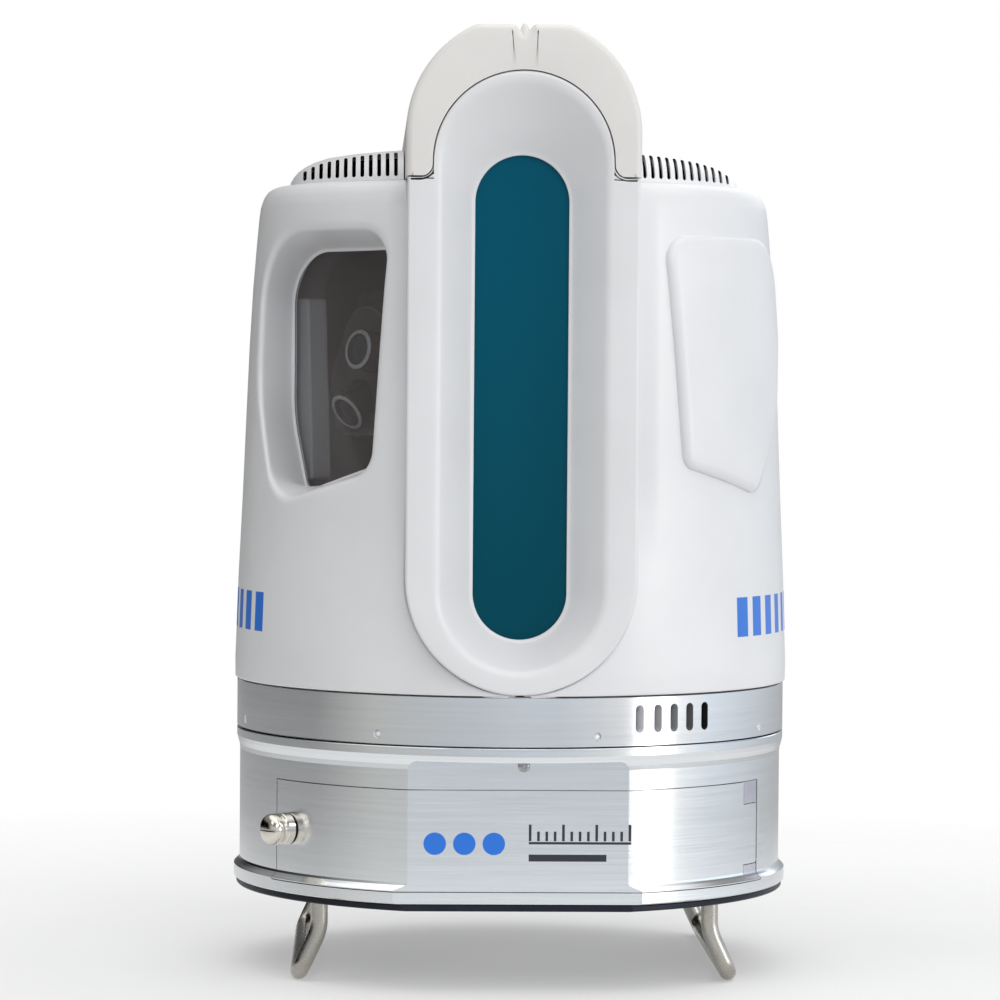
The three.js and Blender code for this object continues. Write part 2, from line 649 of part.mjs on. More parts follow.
function frontBezel() {
  const back = SPINE_FRONT + MOULDING_DEPTH;
  const funnel = loft(
    stadium(FLOOR.half, FLOOR.low, FLOOR.high),
    stadium(RIM.half, RIM.low, RIM.high),
    (x, z, end) => [x, end ? SPINE_FRONT : FLOOR.y, z],
    5,
  );
  const lip = prismY(stadium(RIM.half, RIM.low, RIM.high), SPINE_FRONT - 5, SPINE_FRONT + 0.05, 5);
  return cut(
    prismY(bezelOutline(), SPINE_FRONT, back, 7),
    join(funnel, lip),
    prismY(stadium(WINDOW.half, WINDOW.low, WINDOW.high), SPINE_FRONT, back + 1),
    prismY(stadium(39.8, SPINE_ARC_Z, 259.2), WINDOW.y - GAP, back + 1),
    prismY(stadium(30.3, 240, NECK_ARC_Z), WINDOW.y - GAP, back + 1),
  );
}

function rearPanel() {
  const front = SPINE_REAR - MOULDING_DEPTH;
  const archTo = (half, top) => {
    const shape = new THREE.Shape();
    shape.absarc(0, SPINE_ARC_Z, half, Math.PI, 2 * Math.PI);
    shape.lineTo(half, top);
    shape.lineTo(-half, top);
    shape.closePath();
    return shape;
  };
  const keyHoles = KEYS.map(({ x }) => discY(KEY_R + GAP, 90, 120, x, KEY_Z, HOLE_FACETS));
  return cut(
    prismY(archTo(SPINE_HALF, BEZEL_TOP), front, SPINE_REAR, 7),
    prismY(archTo(SPINE_HALF - SHELL, BEZEL_TOP - SHELL), front - 1, SPINE_REAR - SHELL, 5),
    prismY(rectangle(-SCREEN.half, SCREEN.half, SCREEN.low, SCREEN.high, 4), 90, 120, 3),
    ...keyHoles,
  );
}

function capSection(radius, low, top, groove) {
  const edge = Math.acos(Math.sqrt(radius ** 2 - (top - CAP_ARC_Z) ** 2) / radius);
  const shape = new THREE.Shape();
  shape.moveTo(-radius, low);
  shape.lineTo(radius, low);
  shape.absarc(0, CAP_ARC_Z, radius, 0, edge);
  if (groove) {
    shape.lineTo(GROOVE.half, top + 0.2);
    shape.lineTo(0, top - GROOVE.depth);
    shape.lineTo(-GROOVE.half, top + 0.2);
  }
  shape.absarc(0, CAP_ARC_Z, radius, Math.PI - edge, Math.PI);
  shape.closePath();
  return shape;
}

function topCap() {
  const neck = prismY(bezelOutline(0.35), SPINE_FRONT - 5, SPINE_FRONT + MOULDING_DEPTH + 1, 7);
  return cut(
    prismY(capSection(CAP_R, BEZEL_TOP + 0.6, CAP_TOP, true), SPINE_FRONT, SPINE_REAR, 7),
    prismY(capSection(CAP_R - SHELL, 290, 352, false), SPINE_FRONT + 5, SPINE_REAR - 4, 5),
    neck,
    box(-3.4, 3.4, -120, -103, 352.3, 370),
  );
}

// Height of the domed vent cover at a distance from the head's axis.
function domeHeight(radius) {
  const i = DOME.findIndex(([r]) => r <= radius);
  const [r0, z0] = DOME[i - 1];
  const [r1, z1] = DOME[i];
  return z0 + ((z1 - z0) * (radius - r0)) / (r1 - r0);
}

function ventCover() {
  const right = box(VENT.inner, 120, -120, 120, 290, 330);
  const shell = lathe([...DOME, ...DOME_INSIDE], VENT.facets).intersect(right);
  const solidDome = lathe([...DOME, [41, 302.8]], VENT.facets);
  const endWall = solidDome.intersect(box(VENT.inner, VENT.inner + 1.6, -120, 120, 290, 330));
  const slots = [];
  for (let i = 0; i < VENT.count; i += 1) {
    const x = VENT.first + i * VENT.pitch;
    const near = Math.sqrt(Math.max(69 ** 2 - x ** 2, 100));
    const top = domeHeight(x) - VENT.margin;
    slots.push(box(x - VENT.half, x + VENT.half, -100, -near, VENT.sill, top));
  }
  return cut(join(shell, endWall), ...slots);
}

function sideCover() {
  const raised = cut(housingSolid(HOUSING_PROFILE, 3), housingSolid(HOUSING_PROFILE, GAP));
  return raised.intersect(facingPrism(COVER_ANGLE, COVER_OUTLINE, 60, 130));
}

function frontSight() {
  const profile = [[0, 352.6], [2.9, 352.6], [2.3, 354], [1.6, 356.4], [1.1, 358.2], [0.5, 358.9], [0, 359]];
  return lathe(profile, HOLE_FACETS).translate([0, -107, 0]);
}

// ---- Head: optics ----
function lidarWindow() {
  return prismY(stadium(20.4, WINDOW.low, WINDOW.high), WINDOW.y, WINDOW.y + 3);
}

function windowSeal() {
  const outside = prismY(stadium(23.5, WINDOW.low, WINDOW.high), WINDOW.y, WINDOW.y + 4);
  return cut(outside, prismY(stadium(20.7, WINDOW.low, WINDOW.high), WINDOW.y - 1, WINDOW.y + 5));
}

// A slab across the mirror's 45 degree normal, between two distances from the mirror's centre.
function mirrorSlab(near, far) {
  const slab = new THREE.BoxGeometry(far - near, 120, 120).translate((near + far) / 2, 0, 0);
  return toSolid(slab.rotateZ(-Math.PI / 4).translate(0, MIRROR_Y, MIRROR_Z));
}

function scanMirror() {
  return discX(MIRROR_R, -40, 40, MIRROR_Y, MIRROR_Z, MEDIUM_FACETS).intersect(mirrorSlab(-2, 1.5));
}

function mirrorHub() {
  const profile = [[0, -47], [5, -47], [5, -34], [8, -34], [8, -24], [20, -24], [20, 24], [0, 24]];
  const drum = latheX(profile, MIRROR_Y, MIRROR_Z);
  return drum.intersect(mirrorSlab(-80, -2 - GAP));
}

function telescopeBarrel() {
  return latheX([
    [19, 28], [23.4, 28], [23.4, 52], [20, 60], [20, 78], [0, 78], [0, 74], [16, 74], [19, 50],
  ], MIRROR_Y, MIRROR_Z);
}

function telescopeLens() {
  return latheX([[0, 30], [18.4, 32], [18.4, 34.5], [0, 36.5]], MIRROR_Y, MIRROR_Z);
}

function cameraPieces() {
  const pane = facingPrism(POCKET_ANGLE, grown(POCKET_FLOOR, 2), PANE_N - 3, PANE_N - GAP);
  const plate = facingPrism(POCKET_ANGLE, [[1, 262, 10], [-28, 262, 10], [-34, 205, 8], [-2, 205, 8]], 55, 57);
  const pod = facingPrism(POCKET_ANGLE, CAMERA_POD, 56.9, 66);
  const barrel = [[0, -6], [8, -6], [8, 5.5], [6.4, 6.5], [5, 5], [0, 5]];
  const room = [[0, -6 - GAP], [8 + GAP, -6 - GAP], [8 + GAP, 14], [0, 14]];
  const rooms = CAMERAS.map((camera) => facingBarrel(POCKET_ANGLE, camera, CAMERA_N, room));
  add('camera_window', pane, SMOKE);
  add('camera_bracket', cut(join(plate, pod), ...rooms), GREY);
  for (const camera of CAMERAS) add(camera.name, facingBarrel(POCKET_ANGLE, camera, CAMERA_N, barrel), BLACK);
  add('camera_shroud', facingPrism(POCKET_ANGLE, CAMERA_SHROUD, 66.4, 75.6), GREY);
}

// ---- Head: rear panel, screen and keys ----
function rearPieces() {
  add('rear_panel', rearPanel(), WHITE);
  const glass = rectangle(-SCREEN.half + GAP, SCREEN.half - GAP, SCREEN.low + GAP, SCREEN.high - GAP, 3.7);
  add('display_glass', prismY(glass, 105.8, 108.4, 3), SMOKE);
  const board = prismY(rectangle(-36, 36, 188, 268, 3), 99, 100.8, 2);
  add('display_board', join(board, box(-33, 33, 100.7, 105.4, 211, 265)), BOARD_GREEN);
  for (const { name, x } of KEYS) {
    const profile = [[0, 102.2], [5.4, 102.2], [5.4, 104.6], [KEY_R, 104.6], [KEY_R, 109.6], [3.6, 110], [0, 110]];
    add(name, latheY(profile, x, KEY_Z, HOLE_FACETS), BLACK);
  }
}

// ---- Head: fans under the shoulder vents ----
function fanFrame() {
  const square = cut(
    prismZ(rectangle(FAN.x - FAN.half, FAN.x + FAN.half, -FAN.half, FAN.half, 3), FAN.low, FAN.high, 2),
    disc(FAN.boreR, FAN.low - 1, FAN.high + 1, FAN.x, 0),
  );
  const struts = [0, 60, 120].map((angle) => (
    box(-19, 19, -1.2, 1.2, FAN.low, FAN.low + 2).rotate([0, 0, angle]).translate([FAN.x, 0, 0])
  ));
  return join(square, disc(FAN.hubR, FAN.low, FAN.low + 2, FAN.x, 0), ...struts);
}

function fanRotor() {
  const hub = disc(FAN.hubR, FAN.low + 2.4, FAN.high - 1);
  const blades = [];
  for (let i = 0; i < FAN.blades; i += 1) {
    const blade = new THREE.BoxGeometry(11.5, 1, 9).rotateX(radians(42)).translate(11.8, 0, FAN.low + 6.6);
    blades.push(toSolid(blade.rotateZ((2 * Math.PI * i) / FAN.blades)));
  }
  return join(hub, ...blades).translate([FAN.x, 0, 0]);
}

// ---- Head assembly ----
function headPieces() {
  add('head_ring', headRing(), ALUMINIUM);
  add('turntable', turntable(), ALUMINIUM);
  add('pan_bearing_inner', lathe([[29.9, 82.5], [40.6, 82.5], [40.6, 91.9], [29.9, 91.9]], MEDIUM_FACETS), STEEL);
  add('pan_motor_rotor', lathe([[15.3, 50], [24.2, 50], [24.2, 78], [15.3, 78]]), DARK_METAL);
  add('side_plate_left', sidePlate(-1, 14), ALUMINIUM);
  add('side_plate_right', sidePlate(1, 23.8), ALUMINIUM);
  const { left, right } = housings();
  add('housing_left', left, WHITE);
  add('housing_right', right, WHITE);
  add('front_bezel', frontBezel(), WHITE);
  add('top_cap', topCap(), CAP_WHITE);
  add('front_sight', frontSight(), CAP_WHITE);
  add('vent_cover_right', ventCover(), WHITE);
  add('vent_cover_left', ventCover().mirror([1, 0, 0]), WHITE);
  add('side_cover', sideCover(), WHITE);
  add('lidar_window', lidarWindow(), TEAL);
  add('window_seal', windowSeal(), BLACK);
  cameraPieces();
  rearPieces();
  const motor = cut(discX(15, -54, -40.3, MIRROR_Y, MIRROR_Z), discX(5.6, -48, 0, MIRROR_Y, MIRROR_Z));
  const bearing = [[5.3, -40], [13.7, -40], [13.7, -36.2], [5.3, -36.2]];
  add('mirror_motor', motor, DARK_METAL);
  add('mirror_bearing', latheX(bearing, MIRROR_Y, MIRROR_Z), STEEL);
  add('telescope_barrel', telescopeBarrel(), BLACK);
  add('telescope_lens', telescopeLens(), TEAL);
  add('laser_module', prismZ(rectangle(44, 78, 4, 54, 3), 140, 215, 2), DARK_METAL);
  add('power_supply', prismZ(rectangle(-78, -44, 4, 54, 3), 116, 186, 2), DARK_METAL);
  add('main_board', box(-34, 34, 66, 67.6, 116, 292), BOARD_GREEN);
  add('scan_mirror', scanMirror(), MIRROR_FINISH);
  add('mirror_hub', mirrorHub(), ALUMINIUM);
  add('fan_frame_right', fanFrame(), BLACK);
  add('fan_frame_left', fanFrame().mirror([1, 0, 0]), BLACK);
  add('fan_rotor_right', fanRotor(), BLACK);
  add('fan_rotor_left', fanRotor().mirror([1, 0, 0]), BLACK);
}

basePieces();
doorPieces();
headPieces();

export default group;
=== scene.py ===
import json
import math

import bmesh
import bpy
import numpy as np
from mathutils import Matrix, Vector


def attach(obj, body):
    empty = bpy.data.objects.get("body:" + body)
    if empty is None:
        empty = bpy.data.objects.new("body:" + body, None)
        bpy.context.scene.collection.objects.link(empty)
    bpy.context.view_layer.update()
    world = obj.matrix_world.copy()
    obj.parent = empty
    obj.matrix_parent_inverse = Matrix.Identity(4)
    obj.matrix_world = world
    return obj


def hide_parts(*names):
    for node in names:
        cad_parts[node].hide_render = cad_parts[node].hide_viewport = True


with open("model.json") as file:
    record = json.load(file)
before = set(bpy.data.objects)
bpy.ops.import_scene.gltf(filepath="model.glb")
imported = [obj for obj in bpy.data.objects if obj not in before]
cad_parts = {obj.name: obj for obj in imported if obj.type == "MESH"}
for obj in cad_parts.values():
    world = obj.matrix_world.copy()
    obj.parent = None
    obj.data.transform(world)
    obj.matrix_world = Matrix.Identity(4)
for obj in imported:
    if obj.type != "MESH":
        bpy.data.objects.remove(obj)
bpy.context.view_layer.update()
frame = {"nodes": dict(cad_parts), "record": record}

# ---- Sizes in millimetres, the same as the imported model's ----
SCALE = 0.001
FACETS = 240
LIP_R, FLANGE_R, WALL_R = 108.5, 107.5, 106.3
PLATE_BOTTOM, PLATE_TOP, LIP_TOP, WALL_BOTTOM = 30.1, 32.4, 38.0, 40.6
WALL_TOP, FLANGE_BOTTOM, BASE_TOP, DECK_BOTTOM = 83.0, 88.0, 91.5, 86.5
PAD_Y, PAD_HALF, PAD_LOW_HALF, PAD_TOP, PAD_CORNER = -98.0, 41.5, 47.0, 86.2, 3.9
DOOR = dict(left=-58.5, right=61.3, bottom=37.0, top=75.5)
HINGE_ANGLE, HINGE_R, BLOCK_REACH = 60.0, 103.9, 8.5
# The radius and the flat front of the door's rabbet, the hollow core, and the back of the door.
RABBET, CORE, DOOR_BACK = (99.5, 93.2), (96, 89.7), (100.9, 94.6)
DOOR_GAP, SIDE_GAP, BLOCK_TOP_Z, BLOCK_LOW_Z = 0.35, 0.2, 66.6, 43.5
SCREW_ANGLE, SCREW_Z, SCREW_BORE_R = -54.0, 57.0, 3.4
SOCKET_X, SOCKET_Z = 18.0, 60.0
FLANGE_SCREW_AT = (2, 0, 84.6)
ROD_R, FOOT_TOP_X, FOOT_BAR_X, FOOT_Y, ROD_END_Z, FOOT_FLAT = 3.25, 74.0, 81.7, 69.5, 36.5, 0.45
RING_LOW, RING_HIGH, RING_INNER_R, RING_SCREWS = 92.0, 110.6, 100.4, 8
SLOT_ANGLES = (24.8, 29.0, 32.9, 36.9, 41.0)
HOUSING_LOW, SHOULDER = 110.9, 302.5
PROFILE_Z = (110.9, 118, 151, 181, 216, 240, 263.5, 281, 291, 295, 298.4, 300.7, 302.0, 302.5)
PROFILE_R = (108.3, 108.4, 107.3, 105.9, 104.5, 103.5, 102.2, 100.8, 99.9, 99.3, 98.1, 96.5, 94.4, 92.0)
SPINE_HALF, SPINE_ARC_Z, SPINE_FRONT, SPINE_REAR = 42.8, 154.2, -110.0, 109.0
EDGE_HALF, EDGE_LEAST, EDGE_ROLL, LOW_ROLL, VALLEY_DEPTH, VALLEY_WIDTH = 43.2, 1.5, 0.8, 0.7, 1.7, 9.5
HOUSING_WALL = 2.4
# The part of the left skin, in degrees and heights, that the camera pocket replaces, and the grid's step.
PATCH = dict(start=27.0, end=79.5, low=174.0, high=291.0)
STEP = 0.75
BEZEL_TOP, NECK_HALF, NECK_ARC_Z, NECK_CORNER, MOULDING = 302.2, 33.3, 308.3, 5.0, 28.0
CAP_R, CAP_ARC_Z, CAP_TOP, CAP_LOW = 43.5, 318.9, 358.7, 302.8
POCKET_ANGLE, PANE_N = -50.5, 79.0
# Outlines of (across, height, radius) at the pocket's rim, its floor, and the parts behind its pane.
POCKET_RIM = (
    (35.8, 284.6, 12), (-39.2, 284.6, 30), (-39.2, 226.4, 45), (-18.6, 179.7, 18), (32.8, 192.4, 11),
)
POCKET_CENTRE, RIM_ROLL, FLOOR_ROLL = (-6.0, 233.0), 3.4, 1.2
POCKET_FLOOR = ((25, 277.8, 8), (-39.6, 277.8, 22), (-39.8, 213.2, 60), (-30.3, 183.7, 4), (23, 197, 6))
CAMERA_N = 67.0
CAMERAS = {"camera_upper": (-7.5, 238.5, -8), "camera_lower": (-15, 218, 32)}
CAMERA_POD = ((3, 256, 14), (-20, 256, 14), (-34, 226, 12), (-30, 206, 8), (3, 206, 10))
CAMERA_SHROUD = ((-34.8, 259, 2), (-44, 259, 3), (-44, 212, 25), (-36.5, 188.5, 3), (-31.5, 188.5, 2))
COVER_ANGLE = 54.0
COVER_OUTLINE = (
    (35.5, 283, 20), (-38, 282.5, 10), (-33.2, 195.8, 6), (9, 184.8, 7), (32.6, 215.5, 28), (39, 245, 24),
)
DOME = (
    (88.2, 302.8), (87.7, 304.6), (86.6, 306.6), (84.8, 308.7), (82.2, 310.6), (78.8, 312.3),
    (75.0, 313.6), (68, 314.8), (60, 315.7), (50, 316.5), (44.02, 316.8),
)
SCREEN = dict(half=30.0, low=214.0, high=262.0)
KEY_R, KEY_Z, KEYS = 4.2, 198.0, {"key_power": -20, "key_menu": 0, "key_enter": 20}
CAMERA_ROOM_R, COVER_LIFT = 8.3, 2.95
MARK_R, MARK_PITCH, MARK_LIFT, MARK_SINK = 107.0, 11.5, 0.06, 0.25

# ---- Camera ----
CAMERA_AT = Vector((-0.0574, -1.644, 0.226))
CAMERA_AIM = Vector((-0.0045, 0.0002, 0.1806))
CAMERA_ROLL = math.radians(0.43)
camera_data = bpy.data.cameras.new("camera")
camera_data.lens = 150.08
camera_data.sensor_width = 36.0
camera_data.clip_start = 0.05
camera = bpy.data.objects.new("camera", camera_data)
bpy.context.scene.collection.objects.link(camera)
camera.rotation_mode = "QUATERNION"
camera.location = CAMERA_AT
camera.rotation_quaternion = (
    (CAMERA_AIM - CAMERA_AT).to_track_quat("-Z", "Y")
    @ Matrix.Rotation(CAMERA_ROLL, 3, "Z").to_quaternion()
)
bpy.context.scene.camera = camera
bpy.context.scene.view_settings.view_transform = "Standard"


# ---- Materials ----
class Tree:
    """A node tree, with short ways to add nodes and link them."""

    def __init__(self, tree):
        self.tree = tree

    def add(self, kind, **values):
        node = self.tree.nodes.new(kind)
        for key, value in values.items():
            setattr(node, key, value)
        return node

    def link(self, source, target):
        self.tree.links.new(source, target)

    def math(self, operation, *values):
        node = self.add("ShaderNodeMath", operation=operation)
        for value, socket in zip(values, node.inputs):
            if isinstance(value, (int, float)):
                socket.default_value = value
            else:
                self.link(value, socket)
        return node.outputs[0]

    def split(self, vector):
        node = self.add("ShaderNodeSeparateXYZ")
        self.link(vector, node.inputs[0])
        return node.outputs

    def mix(self, factor, first, colour):
        """From one colour's output to a set colour."""
        node = self.add("ShaderNodeMix", data_type="RGBA")
        self.link(factor, node.inputs[0])
        self.link(first, node.inputs[6])
        node.inputs[7].default_value = (*colour, 1)
        return node.outputs[2]

    def range(self, factor, low, high, start=0.3, end=0.7):
        """Low at the start of the factor's stretch and high at its end."""
        node = self.add("ShaderNodeMapRange")
        for key, value in zip(("From Min", "From Max", "To Min", "To Max"), (start, end, low, high)):
            node.inputs[key].default_value = value
        self.link(factor, node.inputs["Value"])
        return node.outputs["Result"]


class Nodes(Tree):
    """A material's node tree around its shader."""

    def __init__(self, name):
        self.material = bpy.data.materials.new(name)
        self.material.use_nodes = True
        super().__init__(self.material.node_tree)
        self.shader = next(n for n in self.tree.nodes if n.type == "BSDF_PRINCIPLED")
        self.object_coordinates = self.add("ShaderNodeTexCoord").outputs["Object"]

    def set(self, **values):
        for key, value in values.items():
            self.shader.inputs[key.replace("_", " ")].default_value = value

    def feed(self, **sources):
        """Links outputs to the shader's sockets."""
        for key, source in sources.items():
            self.link(source, self.shader.inputs[key.replace("_", " ")])

    def noise(self, scale, detail=3.0, stretch=None, coordinates=None):
        source = coordinates or self.object_coordinates
        if stretch:
            mapping = self.add("ShaderNodeMapping")
            mapping.inputs["Scale"].default_value = stretch
            self.link(source, mapping.inputs["Vector"])
            source = mapping.outputs["Vector"]
        node = self.add("ShaderNodeTexNoise")
        node.inputs["Scale"].default_value = scale
        node.inputs["Detail"].default_value = detail
        self.link(source, node.inputs["Vector"])
        return node.outputs["Fac"]

    def ramp(self, factor, low, high, start=0.35, end=0.65):
        node = self.add("ShaderNodeValToRGB")
        node.color_ramp.elements[0].position = start
        node.color_ramp.elements[1].position = end
        node.color_ramp.elements[0].color = (*low, 1)
        node.color_ramp.elements[1].color = (*high, 1)
        self.link(factor, node.inputs["Fac"])
        return node.outputs["Color"]

    def bump(self, height, strength, distance):
        node = self.add("ShaderNodeBump")
        node.inputs["Strength"].default_value = strength
        node.inputs["Distance"].default_value = distance
        self.link(height, node.inputs["Height"])
        self.feed(Normal=node.outputs["Normal"])

    def turned_coordinates(self, radius):
        """(length round the axis, 0, height): a turned or brushed finish runs round the object's axis."""
        x, y, z = self.split(self.object_coordinates)
        joined = self.add("ShaderNodeCombineXYZ")
        self.link(self.math("MULTIPLY", self.math("ARCTAN2", y, x), radius), joined.inputs["X"])
        self.link(z, joined.inputs["Z"])
        return joined.outputs[0]


def linear(red, green, blue):
    """Linear values of an 8-bit sRGB colour."""
    def channel(value):
        value /= 255
        return value / 12.92 if value <= 0.04045 else ((value + 0.055) / 1.055) ** 2.4
    return tuple(channel(value) for value in (red, green, blue))


def shade(colour, factor):
    return tuple(min(channel * factor, 1.0) for channel in colour)


def moulded(name, colour, roughness, grain=1400.0, grain_height=0.00003, coat=0.0, variation=0.03):
    """Painted or moulded plastic: a fine orange-peel grain, faint mottling and uneven gloss."""
    n = Nodes(name)
    n.feed(
        Base_Color=n.ramp(n.noise(18, 4), shade(colour, 1 - variation), shade(colour, 1 + variation)),
        Roughness=n.range(n.noise(55, 5), roughness * 0.88, roughness * 1.12),
    )
    n.bump(n.noise(grain, 2), 0.35, grain_height)
    n.set(Coat_Weight=coat, Coat_Roughness=0.2)
    return n.material


def turned_metal(name, colour, roughness, anisotropy, streak=0.03, radius=0.105):
    """Metal finished on a lathe or with a belt, with fine lines round the object's axis."""
    n = Nodes(name)
    around = n.turned_coordinates(radius)
    lines, broad = n.noise(1.0, 3, (28, 1, 5200), around), n.noise(1.0, 4, (9, 1, 520), around)
    tangent = n.add("ShaderNodeTangent", direction_type="RADIAL", axis="Z")
    n.feed(
        Base_Color=n.ramp(broad, shade(colour, 1 - streak), shade(colour, 1 + streak), 0.3, 0.7),
        Roughness=n.range(lines, roughness * 0.75, roughness * 1.25),
        Tangent=tangent.outputs["Tangent"],
    )
    n.bump(lines, 0.5, 0.000008)
    n.set(Metallic=1.0, Anisotropic=anisotropy, Anisotropic_Rotation=0.25)
    return n.material


def blasted_with_painted_shade(name):
    """The milled sides of the ring's slots: a pale bead-blast finish by the front, with painted shade
    towards the side.
    """
    n = Nodes(name)
    # Painted shade: the sides darken with X, from pale at 46 mm out to near black at 70 mm.
    across = n.range(n.split(n.object_coordinates)["X"], 0, 1, 0.046, 0.07)
    n.feed(
        Base_Color=n.ramp(across, (0.9, 0.9, 0.92), (0.02, 0.02, 0.02), 0, 1),
        Roughness=n.range(n.noise(2600, 2), 0.45, 0.55),
    )
    return n.material


def plain_metal(name, colour, roughness, grain=900.0, height=0.00002, variation=0.08):
    """Drawn, ground or plated metal with a fine grain."""
    n = Nodes(name)
    spots = n.noise(grain, 4)
    n.feed(
        Base_Color=n.ramp(n.noise(90, 4), shade(colour, 1 - variation), shade(colour, 1 + variation)),
        Roughness=n.range(spots, roughness * 0.8, roughness * 1.2),
    )
    n.bump(spots, 0.4, height)
    n.set(Metallic=1.0)
    return n.material


def coated_window(name):
    """Dark teal coated glass: a deep colour that shifts a little down its length, under a sharp gloss."""
    n = Nodes(name)
    height = n.math("MULTIPLY_ADD", n.noise(6, 2, (1.4, 1, 0.7)), 0.12, n.split(n.object_coordinates)["Z"])
    n.feed(
        Base_Color=n.ramp(height, linear(4, 72, 88), linear(3, 86, 110), 0.2, 0.36),
        Roughness=n.range(n.noise(240, 3), 0.045, 0.075),
    )
    n.bump(n.noise(35, 2), 0.05, 0.0001)
    n.set(IOR=1.5, Specular_IOR_Level=0.06)
    return n.material


def clear_pane(name, colour, alpha, roughness=0.06):
    """Tinted glass or acrylic that shows what is behind it."""
    n = Nodes(name)
    n.feed(
        Base_Color=n.ramp(n.noise(40, 3), shade(colour, 0.9), shade(colour, 1.1)),
        Roughness=n.range(n.noise(300, 3), roughness * 0.8, roughness * 1.3),
    )
    n.set(Alpha=alpha, IOR=1.5)
    return n.material


def circuit_board(name):
    """Green solder mask over copper runs, with pale pads."""
    n = Nodes(name)
    green, light, pad = linear(22, 84, 52), linear(40, 122, 74), linear(190, 180, 140)
    brick = n.add("ShaderNodeTexBrick")
    brick.inputs["Scale"].default_value = 160
    brick.inputs["Mortar Size"].default_value = 0.03
    for key, value in (("Color1", green), ("Color2", shade(green, 0.8)), ("Mortar", light)):
        brick.inputs[key].default_value = (*value, 1)
    turn = n.add("ShaderNodeMapping")
    turn.inputs["Rotation"].default_value = (math.radians(90), 0, 0)
    n.link(n.object_coordinates, turn.inputs["Vector"])
    n.link(turn.outputs["Vector"], brick.inputs["Vector"])
    spots = n.add("ShaderNodeTexVoronoi")
    spots.inputs["Scale"].default_value = 260
    n.link(n.object_coordinates, spots.inputs["Vector"])
    pads = n.range(spots.outputs["Distance"], 1.0, 0.0, 0.1, 0.16)
    n.feed(
        Base_Color=n.mix(pads, brick.outputs["Color"], pad),
        Roughness=n.range(n.noise(90, 3), 0.3, 0.45),
    )
    n.bump(brick.outputs["Fac"], 0.3, 0.00005)
    return n.material


def wound_copper(name):
    """Enamelled wire wound round the motor."""
    n = Nodes(name)
    wave = n.add("ShaderNodeTexWave", bands_direction="X")
    wave.inputs["Scale"].default_value = 300
    wave.inputs["Distortion"].default_value = 0.6
    n.link(n.turned_coordinates(0.035), wave.inputs["Vector"])
    n.feed(
        Base_Color=n.ramp(wave.outputs["Fac"], linear(120, 62, 28), linear(205, 125, 72), 0.1, 0.9),
        Roughness=n.range(n.noise(120, 3), 0.28, 0.42),
    )
    n.bump(wave.outputs["Fac"], 0.6, 0.0003)
    n.set(Metallic=0.9, Coat_Weight=0.4)
    return n.material


MATERIALS = {
    "white_moulding": moulded("satin_white", linear(226, 226, 227), 0.36, coat=0.12),
    "cap_moulding": moulded("satin_warm_white", linear(224, 221, 217), 0.40, coat=0.10),
    "ring_aluminium": turned_metal("brushed_ring", linear(236, 238, 240), 0.17, 0.6),
    "base_aluminium": turned_metal("turned_base", linear(236, 239, 241), 0.2, 0.5),
    "machined_aluminium": turned_metal("machined", linear(196, 198, 200), 0.36, 0.4, 0.05),
    "dark_plate": plain_metal("dark_anodised", linear(48, 50, 58), 0.42),
    "bent_rod": plain_metal("bent_stainless", linear(176, 172, 164), 0.27, 700, 0.00003),
    "steel": plain_metal("ground_steel", linear(176, 176, 176), 0.28, 1600),
    "knob_chrome": plain_metal("polished_nickel", linear(222, 216, 206), 0.12, 600, 0.00001, 0.03),
    "window_teal": coated_window("teal_window"),
    "smoked_pane": clear_pane("smoked", linear(112, 106, 105), 0.36),
    "lens_glass": moulded("coated_lens", linear(10, 60, 70), 0.05, 60, 0.00001, coat=1.0),
    "mirror_coating": plain_metal("mirror_face", linear(236, 240, 244), 0.03, 300, 0.000002, 0.01),
    "black_plastic": moulded("black_moulded", linear(26, 26, 27), 0.45, 900, 0.00006),
    "grey_plastic": moulded("grey_moulded", linear(120, 124, 127), 0.5, 900, 0.00005),
    "battery_case": moulded("battery_grey", linear(74, 78, 84), 0.5, 700, 0.00008),
    "seal_rubber": moulded("seal_black", linear(22, 22, 22), 0.7, 1200, 0.00006),
    "key_rubber": moulded("key_black", linear(34, 34, 36), 0.62, 1500, 0.00005),
    "circuit_board": circuit_board("solder_mask"),
    "copper_winding": wound_copper("copper_wire"),
}
BLASTED_WITH_PAINTED_SHADE = blasted_with_painted_shade("blasted_aluminium_painted_shade")
# Pale steel for the ring's screws; on the camera barrels' front rims it is a painted glint.
PALE_STEEL_AND_GLINT = moulded("pale_steel_and_painted_glint", linear(240, 240, 243), 0.22, 2000, 0.00001, coat=0.5)
HINGE_FINISH = plain_metal("hinge_finish", linear(206, 205, 214), 0.34, 1500)
DARK_POD = moulded("pod_dark", linear(84, 80, 80), 0.4, 900, 0.00005, coat=0.2)
SHROUD_GREY = moulded("shroud_grey", linear(226, 234, 240), 0.45, 900, 0.00004)
BARREL_BLACK = moulded("barrel_black", linear(50, 48, 48), 0.2, 900, 0.00002, coat=0.6)
# Near-black painted shade for the inside of the vent covers, seen through their slots.
PAINTED_SHADE_INSIDE = moulded("painted_shade_inside", linear(20, 20, 21), 0.8, 500, 0.0001)
MARK_BLUE = moulded("mark_blue", linear(28, 112, 214), 0.32, 1200, 0.00001, coat=0.1)
MARK_DARK = moulded("mark_dark", linear(40, 42, 50), 0.4, 1200, 0.00001)
SLOT_OF = {row["node"]: row["material_slot"] for row in frame["record"]["subparts"]}
BODY_OF = {
    node: body for body, nodes in frame["record"]["behaviour"]["bodies"].items() for node in nodes
}


